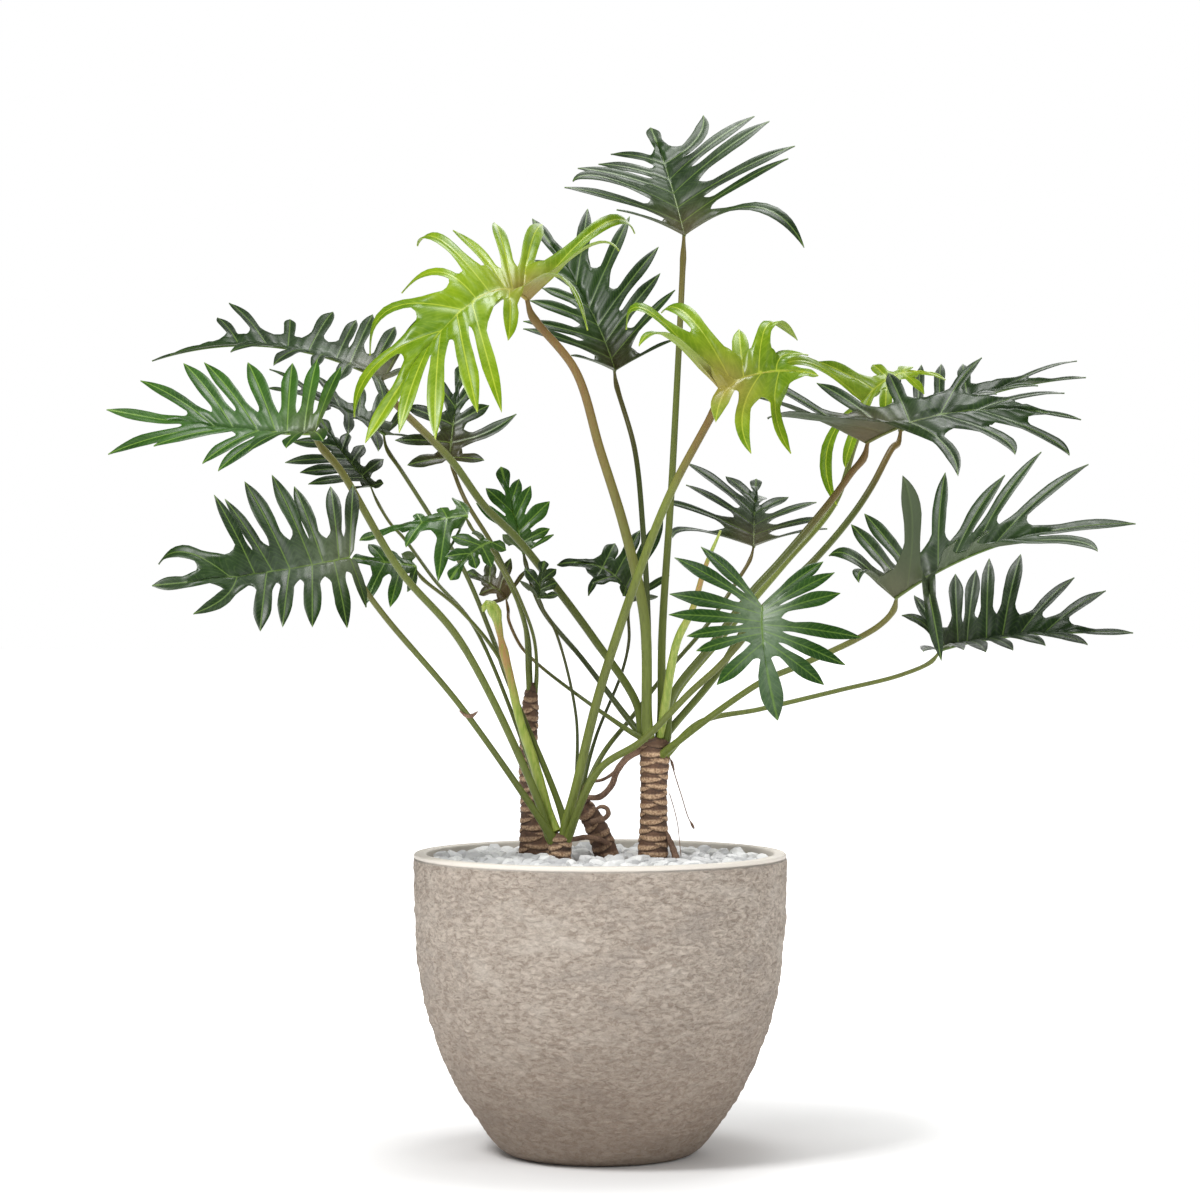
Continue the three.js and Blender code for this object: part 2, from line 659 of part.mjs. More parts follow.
function ribCurve(leaf) {
  const hub = front(...leaf.hub);
  const apex = front(...leaf.apex);
  const halfway = front(...leaf.rib);
  const control = halfway.multiplyScalar(2).addScaledVector(hub, -0.5).addScaledVector(apex, -0.5);
  return new THREE.QuadraticBezierCurve3(hub, control, apex);
}

// Directions on the blade at a share of the rib: along it, out of its face and to its left
function bladeFrame(leaf, rib, share) {
  const along = rib.getTangent(share);
  const normal = across(point(leaf.face), along);
  return { along, normal, left: normal.clone().cross(along) };
}

// One side's lobes from the base on. Angle, length and depth follow the species' rule: the
// basal lobes point back, the front ones forward, and they grow shorter towards the apex.
function lobesOf(leaf, rib, side) {
  const tips = side > 0 ? leaf.left : leaf.right;
  const roots = side > 0 ? leaf.leftRoots : leaf.rightRoots;
  const size = rib.v0.distanceTo(rib.v2);
  return tips.map((tip, index) => {
    const rank = tips.length > 1 ? index / (tips.length - 1) : 0;
    const rule = ((leaf.last ?? LAST_LOBE) - 0.05) * (index / tips.length) ** 1.2;
    const share = Math.round((roots ? roots[index] : rule) / ROOT_PITCH) * ROOT_PITCH;
    const degrees = THREE.MathUtils.lerp(BASAL_ANGLE, FRONT_ANGLE, rank ** 0.75);
    const angle = THREE.MathUtils.degToRad(degrees);
    const { along, normal, left } = bladeFrame(leaf, rib, share);
    const root = rib.getPoint(share);
    const seen = root.distanceTo(front(tip[0], tip[1], root.y));
    const length = Math.max(size * (0.52 - 0.16 * rank), seen);
    const outward = along.clone().multiplyScalar(Math.cos(angle))
      .addScaledVector(left, side * Math.sin(angle));
    const most = Math.sqrt((LONGEST * length) ** 2 - seen ** 2);
    const depth = root.y + THREE.MathUtils.clamp(outward.y * length, -most, most);
    const end = front(tip[0], tip[1], depth);
    const middle = mix(root, end, 0.5);
    const control = tip.length > 2
      ? front(tip[2], tip[3], middle.y).multiplyScalar(2).sub(middle)
      : middle.clone().addScaledVector(normal, LOBE_ARCH * root.distanceTo(end));
    const forward = along.clone().multiplyScalar(Math.sin(angle))
      .addScaledVector(left, -side * Math.cos(angle));
    const vein = new THREE.QuadraticBezierCurve3(root, control, end);
    return { share, vein, forward };
  });
}

// For each point of a sheet, the step that moves all the faces round it out by 1, or as far as a
// sharp fold lets it
function outwardSteps(points, triangles) {
  const around = points.map(() => []);
  triangles.forEach((corners) => {
    const [a, b, c] = corners.map((index) => points[index]);
    const out = b.clone().sub(a).cross(c.clone().sub(a)).normalize();
    corners.forEach((index) => around[index].push(out));
  });
  return around.map((faces) => {
    const step = new THREE.Vector3();
    faces.forEach((face) => step.add(face));
    step.normalize();
    for (let turn = 0; turn < 24; turn += 1) {
      const worst = faces.reduce((least, face) => (face.dot(step) < least.dot(step) ? face : least));
      step.addScaledVector(worst, 0.12).normalize();
    }
    const least = Math.min(...faces.map((face) => face.dot(step)));
    return step.divideScalar(Math.max(least, LEAST_TURN));
  });
}

// The blade as one thin closed sheet: lobes along both sides of the rib, joined by a web up to
// the sinuses, thickest along the rib
function bladeGeometry(leaf) {
  const rib = ribCurve(leaf);
  const points = [];
  const thickness = [];
  const triangles = [];
  const add = (place, thick) => {
    points.push(place);
    thickness.push(thick);
    return points.length - 1;
  };
  const stations = leaf.tone === "lime" ? [0.5, 0.8] : [STRAP_END];
  const last = leaf.last ?? LAST_LOBE;
  const sinus = leaf.sinus ?? SINUS;
  const sides = [1, -1].map((side) => ({ side, lobes: lobesOf(leaf, rib, side) }));
  const lastPart = (share) => last + (1 - last) * share;
  const shares = new Set([last, lastPart(sinus), ...stations.map(lastPart), 1]);
  sides.forEach(({ lobes }) => lobes.forEach((lobe) => shares.add(lobe.share)));
  const ribShares = [...shares].sort((a, b) => a - b);
  const ribIndex = new Map(ribShares.map((share) => {
    const thick = THREE.MathUtils.lerp(RIB_THICKNESS, EDGE_THICKNESS, share);
    return [share, add(rib.getPoint(share), thick)];
  }));

  sides.forEach(({ side, lobes }, sideIndex) => {
    const opposite = sides[1 - sideIndex].lobes[0];
    const taper = (share) => Math.min(1, (1 - share) / (1 - STRAP_END));
    const apexAt = (share) => rib.getPoint(lastPart(share));
    const face = (a, b, c) => triangles.push(side > 0 ? [a, b, c] : [a, c, b]);
    const fan = (from, to, hinge) => {
      const run = ribShares.filter((share) => share >= from && share <= to);
      for (let i = 0; i + 1 < run.length; i += 1) {
        face(ribIndex.get(run[i]), ribIndex.get(run[i + 1]), hinge);
      }
    };
    const widthAt = (index, share) => {
      const here = lobes[index].vein.getPoint(share);
      const before = (lobes[index - 1] || opposite).vein.getPoint(share);
      const next = lobes[index + 1] ? lobes[index + 1].vein.getPoint(share) : apexAt(share);
      const room = 0.42 * Math.min(here.distanceTo(before), here.distanceTo(next));
      return Math.min(leaf.strap, room) * taper(share);
    };
    const edgeAt = (index, share, way) => {
      const { vein, forward } = lobes[index];
      const out = across(forward, vein.getTangent(share));
      return vein.getPoint(share).addScaledVector(out, way * widthAt(index, share));
    };
    const sinuses = lobes.map((lobe, index) => {
      const next = lobes[index + 1] ? lobes[index + 1].vein.getPoint(sinus) : apexAt(sinus);
      return add(mix(lobe.vein.getPoint(sinus), next, 0.5), EDGE_THICKNESS);
    });
    const firstEdge = add(edgeAt(0, sinus, -1), EDGE_THICKNESS);
    lobes.forEach((lobe, index) => {
      const root = ribIndex.get(lobe.share);
      const start = add(lobe.vein.getPoint(sinus), VEIN_THICKNESS);
      const back = index > 0 ? sinuses[index - 1] : firstEdge;
      const ahead = sinuses[index];
      const nextShare = index + 1 < lobes.length ? lobes[index + 1].share : last;
      face(root, start, back);
      face(root, ahead, start);
      fan(lobe.share, nextShare, ahead);
      let [centre, low, high] = [start, back, ahead];
      stations.forEach((share) => {
        const nextCentre = add(lobe.vein.getPoint(share), VEIN_THICKNESS);
        const nextLow = add(edgeAt(index, share, -1), EDGE_THICKNESS);
        const nextHigh = add(edgeAt(index, share, 1), EDGE_THICKNESS);
        face(centre, high, nextHigh);
        face(centre, nextHigh, nextCentre);
        face(low, centre, nextCentre);
        face(low, nextCentre, nextLow);
        [centre, low, high] = [nextCentre, nextLow, nextHigh];
      });
      const tip = add(lobe.vein.getPoint(1), EDGE_THICKNESS);
      face(centre, high, tip);
      face(low, centre, tip);
    });
    let outer = sinuses[lobes.length - 1];
    let inner = ribIndex.get(lastPart(sinus));
    face(ribIndex.get(last), inner, outer);
    stations.forEach((share) => {
      const { left } = bladeFrame(leaf, rib, lastPart(share));
      const room = 0.42 * apexAt(share).distanceTo(lobes.at(-1).vein.getPoint(share));
      const wide = Math.min(leaf.tip ?? leaf.strap, room) * taper(share) * side;
      const nextOuter = add(apexAt(share).addScaledVector(left, wide), EDGE_THICKNESS);
      const nextInner = ribIndex.get(lastPart(share));
      face(inner, nextInner, nextOuter);
      face(inner, nextOuter, outer);
      [outer, inner] = [nextOuter, nextInner];
    });
    face(inner, ribIndex.get(1), outer);
  });

  const outward = outwardSteps(points, triangles);
  const offset = (sign) => points.map((place, index) => place.clone()
    .addScaledVector(outward[index], sign * thickness[index] / 2));
  const count = points.length;
  const lower = triangles.map(([a, b, c]) => [a + count, c + count, b + count]);
  const walls = wallTriangles(triangles, count);
  return meshGeometry([...offset(1), ...offset(-1)], [...triangles, ...lower, ...walls]);
}

// Where a stalk leaves its crown, in which direction, and the way to move it onto the crown
function seatOf(leaf) {
  const crown = CROWNS[leaf.crown];
  const [degrees, ring] = leaf.seat;
  const angle = THREE.MathUtils.degToRad(degrees);
  const out = new THREE.Vector3(Math.cos(angle), Math.sin(angle), 0);
  const lean = THREE.MathUtils.degToRad([12, 32, 52][ring]);
  const direction = out.clone().multiplyScalar(Math.sin(lean)).addScaledVector(UP, Math.cos(lean));
  const place = point(crown.top);
  if (ring === 0) {
    place.addScaledVector(out, crown.radius - leaf.base - 1);
    place.z += leaf.base;
    return { place, direction, inward: new THREE.Vector3(0, 0, -1) };
  }
  place.addScaledVector(out, crown.radius + leaf.base + 2);
  place.z -= ring * 15 - 3;
  return { place, direction, inward: out.negate() };
}

// The least distance from some points to a mesh
function clearance(places, geometry) {
  const position = geometry.attributes.position;
  const index = geometry.index.array;
  const triangle = new THREE.Triangle();
  const nearest = new THREE.Vector3();
  let least = Infinity;
  for (let i = 0; i < index.length; i += 3) {
    triangle.setFromAttributeAndIndices(position, index[i], index[i + 1], index[i + 2]);
    places.forEach((place) => {
      triangle.closestPointToPoint(place, nearest);
      least = Math.min(least, nearest.distanceTo(place));
    });
  }
  return least;
}

// Moves a tube's foot in small steps until its rim is one gap away from what carries it
function seated(makeTube, foot, inward, sides, carrier) {
  const place = foot.clone();
  let tube = makeTube(place);
  for (let step = 0; step < 80; step += 1) {
    const rim = [];
    for (let side = 0; side < sides; side += 1) {
      rim.push(new THREE.Vector3().fromBufferAttribute(tube.attributes.position, side));
    }
    const between = rim.map((corner, side) => mix(corner, rim[(side + 1) % sides], 0.5));
    if (clearance([...rim, ...between], carrier) < SEAT_GAP) {
      return tube;
    }
    place.addScaledVector(inward, 0.1);
    tube = makeTube(place);
  }
  return makeTube(foot);
}

function stalkCurve(leaf, foot, end) {
  const { place, direction } = seatOf(leaf);
  const hub = front(...leaf.hub);
  const lift = place.clone().addScaledVector(direction, 11);
  const reads = leaf.stalk.map(([a, u, depth]) => {
    const share = THREE.MathUtils.clamp((u - lift.z) / (hub.z - lift.z), 0, 1);
    return front(a, u, depth ?? THREE.MathUtils.lerp(lift.y, hub.y, share));
  });
  const { normal } = bladeFrame(leaf, ribCurve(leaf), 0.15);
  const arrival = hub.clone().sub(reads.at(-1)).normalize();
  const neck = hub.clone().addScaledVector(normal, -0.6 * NECK)
    .addScaledVector(arrival, -0.8 * NECK);
  return new THREE.CatmullRomCurve3([foot, lift, ...reads, neck, end], false, "centripetal");
}

// A stalk that widens towards its sheath and ends just short of the blade's keel
function stalkGeometry(leaf, blade, trunk) {
  const hub = front(...leaf.hub);
  const { place, inward } = seatOf(leaf);
  const arrival = stalkCurve(leaf, place, hub).getTangentAt(1);
  let back = 0;
  let end = hub;
  let ring = [];
  do {
    back += 0.25;
    end = hub.clone().addScaledVector(arrival, -back);
    const sideways = across(UP.clone().addScaledVector(arrival, 0.1), arrival);
    const other = sideways.clone().cross(arrival);
    ring = [0, 3, 6, 9, 12].flatMap((lower) => {
      const radius = THREE.MathUtils.lerp(STALK_TOP_RADIUS, leaf.girth[1], lower / NECK);
      return [0, 1, 2, 3, 4, 5, 6, 7].flatMap((step) => [0.5, 1]
        .map((share) => end.clone()
          .addScaledVector(arrival, -lower)
          .addScaledVector(sideways, share * radius * Math.cos((step * Math.PI) / 4))
          .addScaledVector(other, share * radius * Math.sin((step * Math.PI) / 4))));
    });
  } while (clearance([end, ...ring], blade) < GAP && back < 12);
  const [girth, top] = leaf.girth;
  const radiusAt = (share) => {
    const sheath = (leaf.base - girth) * Math.max(0, 1 - share / 0.35) ** 1.5;
    return share < 1 ? THREE.MathUtils.lerp(girth, top, share) + sheath : STALK_TOP_RADIUS;
  };
  const makeTube = (foot) => {
    const curve = stalkCurve(leaf, foot, end);
    const neckShare = 1 - NECK / curve.getLength();
    const shares = [...evenShares(STALK_STEPS - 1).map((share) => share * neckShare), 1];
    return closedTube(curve, shares, STALK_SIDES, radiusAt);
  };
  return seated(makeTube, place, inward, STALK_SIDES, trunk);
}

const plant = new THREE.Group();

function addPiece(name, geometry, colour, roughness) {
  const material = new THREE.MeshStandardMaterial({ color: colour, roughness, metalness: 0 });
  const mesh = new THREE.Mesh(geometry, material);
  mesh.name = name;
  plant.add(mesh);
}

addPiece("pot", potGeometry(), COLOURS.pot, 0.9);
addPiece("soil", soilGeometry(), COLOURS.soil, 1);
addPiece("gravel", gravelGeometry(), COLOURS.gravel, 0.7);
const trunks = {};
Object.keys(TRUNKS).forEach((name) => {
  trunks[name] = trunkGeometry(name);
});
addPiece("trunk_right", trunks.right, COLOURS.bark, 0.9);
addPiece("trunk_left_front", trunks.leftFront, COLOURS.bark, 0.9);
addPiece("trunk_left_back", trunks.leftBack, COLOURS.bark, 0.9);
addPiece("trunk_middle", trunks.middle, COLOURS.bark, 0.9);

// A stem or root that starts out away from a trunk and is moved back along its own line onto it
function seatedStem(list, steps, trunk) {
  const places = list.map(([a, u, depth]) => front(a, u, depth));
  const inward = places[0].clone().sub(places[1]).normalize();
  const start = places[0].clone().addScaledVector(inward, -3);
  const makeTube = (foot) => tubeThrough(list, [foot, ...places.slice(1)], steps, ROOT_SIDES);
  return seated(makeTube, start, inward, ROOT_SIDES, trunk);
}

addPiece("young_shoot", seatedStem(YOUNG_SHOOT, 16, trunks.leftFront), COLOURS.sheath, 0.6);
addPiece("rolled_leaf", seatedStem(ROLLED_LEAF, 10, trunks.right), COLOURS.sheath, 0.6);
addPiece("root_upper", seatedStem(AERIAL_ROOTS.upper, 12, trunks.right), COLOURS.root, 0.9);
addPiece("root_curl", seatedStem(AERIAL_ROOTS.curl, 12, trunks.middle), COLOURS.root, 0.9);
addPiece("root_low", seatedStem(AERIAL_ROOTS.low, 12, trunks.leftFront), COLOURS.root, 0.9);

LEAVES.forEach((leaf) => {
  const blade = bladeGeometry(leaf);
  addPiece(`leaf_${leaf.name}_blade`, blade, COLOURS[leaf.tone], 0.45);
  const stalk = stalkGeometry(leaf, blade, trunks[leaf.crown]);
  addPiece(`leaf_${leaf.name}_stalk`, stalk, COLOURS.stalk, 0.5);
});

export default plant;
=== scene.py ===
"""The looks of a potted xantal philodendron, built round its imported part, in metres with +Z up.

The viewer stands at -Y. Places in the tables are millimetres: across and up as they are seen at the
pot's axis, and the depth behind it, as in the part's own source.
"""

import math

import bpy
import numpy as np
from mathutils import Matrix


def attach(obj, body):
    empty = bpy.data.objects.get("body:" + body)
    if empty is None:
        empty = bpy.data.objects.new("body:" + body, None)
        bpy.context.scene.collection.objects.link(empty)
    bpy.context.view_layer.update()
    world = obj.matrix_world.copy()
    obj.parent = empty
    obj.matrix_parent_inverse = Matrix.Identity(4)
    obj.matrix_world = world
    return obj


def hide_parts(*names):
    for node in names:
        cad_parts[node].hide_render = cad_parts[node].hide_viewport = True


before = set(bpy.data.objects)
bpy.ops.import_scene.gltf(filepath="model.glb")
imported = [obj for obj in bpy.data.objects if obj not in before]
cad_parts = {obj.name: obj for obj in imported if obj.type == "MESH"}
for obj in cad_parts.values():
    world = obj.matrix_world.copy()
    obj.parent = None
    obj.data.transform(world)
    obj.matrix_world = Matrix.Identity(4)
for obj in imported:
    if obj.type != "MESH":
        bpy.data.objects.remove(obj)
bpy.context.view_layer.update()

MM = 0.001

# Camera: its distance and height, the picture's side in pixels, a pixel's size at the pot's axis,
# and the sensor's width in millimetres
VIEW_DISTANCE = 4.0
VIEW_HEIGHT = 0.666
PICTURE_SIDE = 1200
PIXEL = 1.2097 * MM
SENSOR = 36

# Pot
POT_HEIGHT = 361 * MM
POT_RADIUS = 225 * MM
POT_TAPER = 0.48
POT_WALL = 15 * MM
POT_FLOOR = 26 * MM
POT_ROUNDING = 3 * MM
POT_SEGMENTS = 240

# Chips: their spacing, and each layer's height in millimetres, shift and share of filled spots
CHIP_PITCH = 21.5 * MM
CHIP_LAYERS = ((343.5, 0, 1.0), (350.5, 0.5, 0.72))
CHIP_CUTS = 7

# Stalks: the bend under the blade, the rings and sides of the tube, and how far, in degrees, a
# stalk of each ring of its crown leans out
NECK = 14 * MM
STALK_RINGS = 84
STALK_SIDES = 14
LEANS = (12, 32, 52)

# Blades: how far out the lobes part and how quickly they do, how much of the gap between two veins
# a lobe may fill on its side, where it narrows, where the last lobe starts, and how many points the
# rib has up to there
SINUS = 0.22
SINUS_TURN = 0.11
LOBE_ROOM = 0.42
STRAP_END = 0.69
LAST_LOBE = 0.78
RIB_POINTS = 27
# Lobes: the steps their roots keep to on the rib, their arch as a share of their length, the most
# that a lobe is longer than it looks, and the angles of the first and the last to the rib
ROOT_PITCH = 0.03
LOBE_ARCH = 0.1
LONGEST = 1.35
BASAL_ANGLE = 150
FRONT_ANGLE = 38
# The blade's thickness, what a vein adds to it and over what reach, the ripple's length along a
# lobe over 2 pi, and the reach of the painted silver sheen, a painted reflection, from the rib and
# from the hub
SHEET = 0.8 * MM
VEIN_RISE = 1.1 * MM
VEIN_REACH = 1.6 * MM
RIPPLE = 19 * MM
SHEEN_FROM_RIB = 32 * MM
SHEEN_FROM_HUB = 110 * MM

# Leaf scars: the turn from one to the next, the half width in radians, the half height, the rise
# over the bark and the depth of the step under each
SCAR_TURN = math.radians(137.5)
SCAR_REACH = 1.4
SCAR_HEIGHT = 3.8 * MM
SCAR_RISE = 0.9 * MM
SCAR_STEP = 0.7 * MM
TRUNK_SIDES = 56

# The rows of a lobe from its root to the sinus and from there to its tip, as shares of each part,
# and its columns from edge to edge
INNER_PARTS = np.array([0.17, 0.33, 0.5, 0.67, 0.83, 1])
OUTER_PARTS = np.array([
    0.03, 0.07, 0.13, 0.21, 0.33, 0.44, 0.56, 0.66, 0.74, 0.81, 0.88, 0.94, 0.98,
])
COLUMNS = np.array([-1, -0.8, -0.52, -0.24, 0, 0.24, 0.52, 0.8, 1])

# Trunks: points of the axis from the soil up, each with its radius
TRUNKS = {
    "right": [
        [64, 0, 300, 15], [64, 0, 330, 17.5], [64, 0, 362, 18], [65, 0, 400, 16.2],
        [65, 0, 440, 15.6], [66, 0, 468, 17.4], [66, 0, 500, 17],
    ],
    "left_front": [
        [-48, -30, 300, 10], [-48, -30, 340, 12.5], [-48, -30, 362, 13], [-48, -30, 386, 14.5],
    ],
    "left_back": [
        [-79, 50, 300, 16], [-79, 50, 340, 19], [-80, 50, 362, 19], [-82, 50, 410, 15],
        [-88, 50, 470, 11], [-86, 50, 520, 10], [-84, 50, 565, 9.5],
    ],
    "middle": [
        [12, 25, 300, 12], [10, 25, 340, 14.5], [6, 25, 362, 14.5], [-10, 25, 400, 12.5],
        [-24, 25, 420, 11.3], [-24, 25, 431, 11],
    ],
}

# How far below its top a trunk starts to round over, in millimetres
DOMES = {"left_back": 34, "middle": 14}

# The pitch of each trunk's scars in millimetres, how pale they are, and where the first one faces
SCARS = {
    "right": (3.9, 1.0, 0.4), "left_front": (3.6, 1.0, 1.7),
    "left_back": (4.6, 0.75, 2.9), "middle": (5.0, 0.5, 4.1),
}

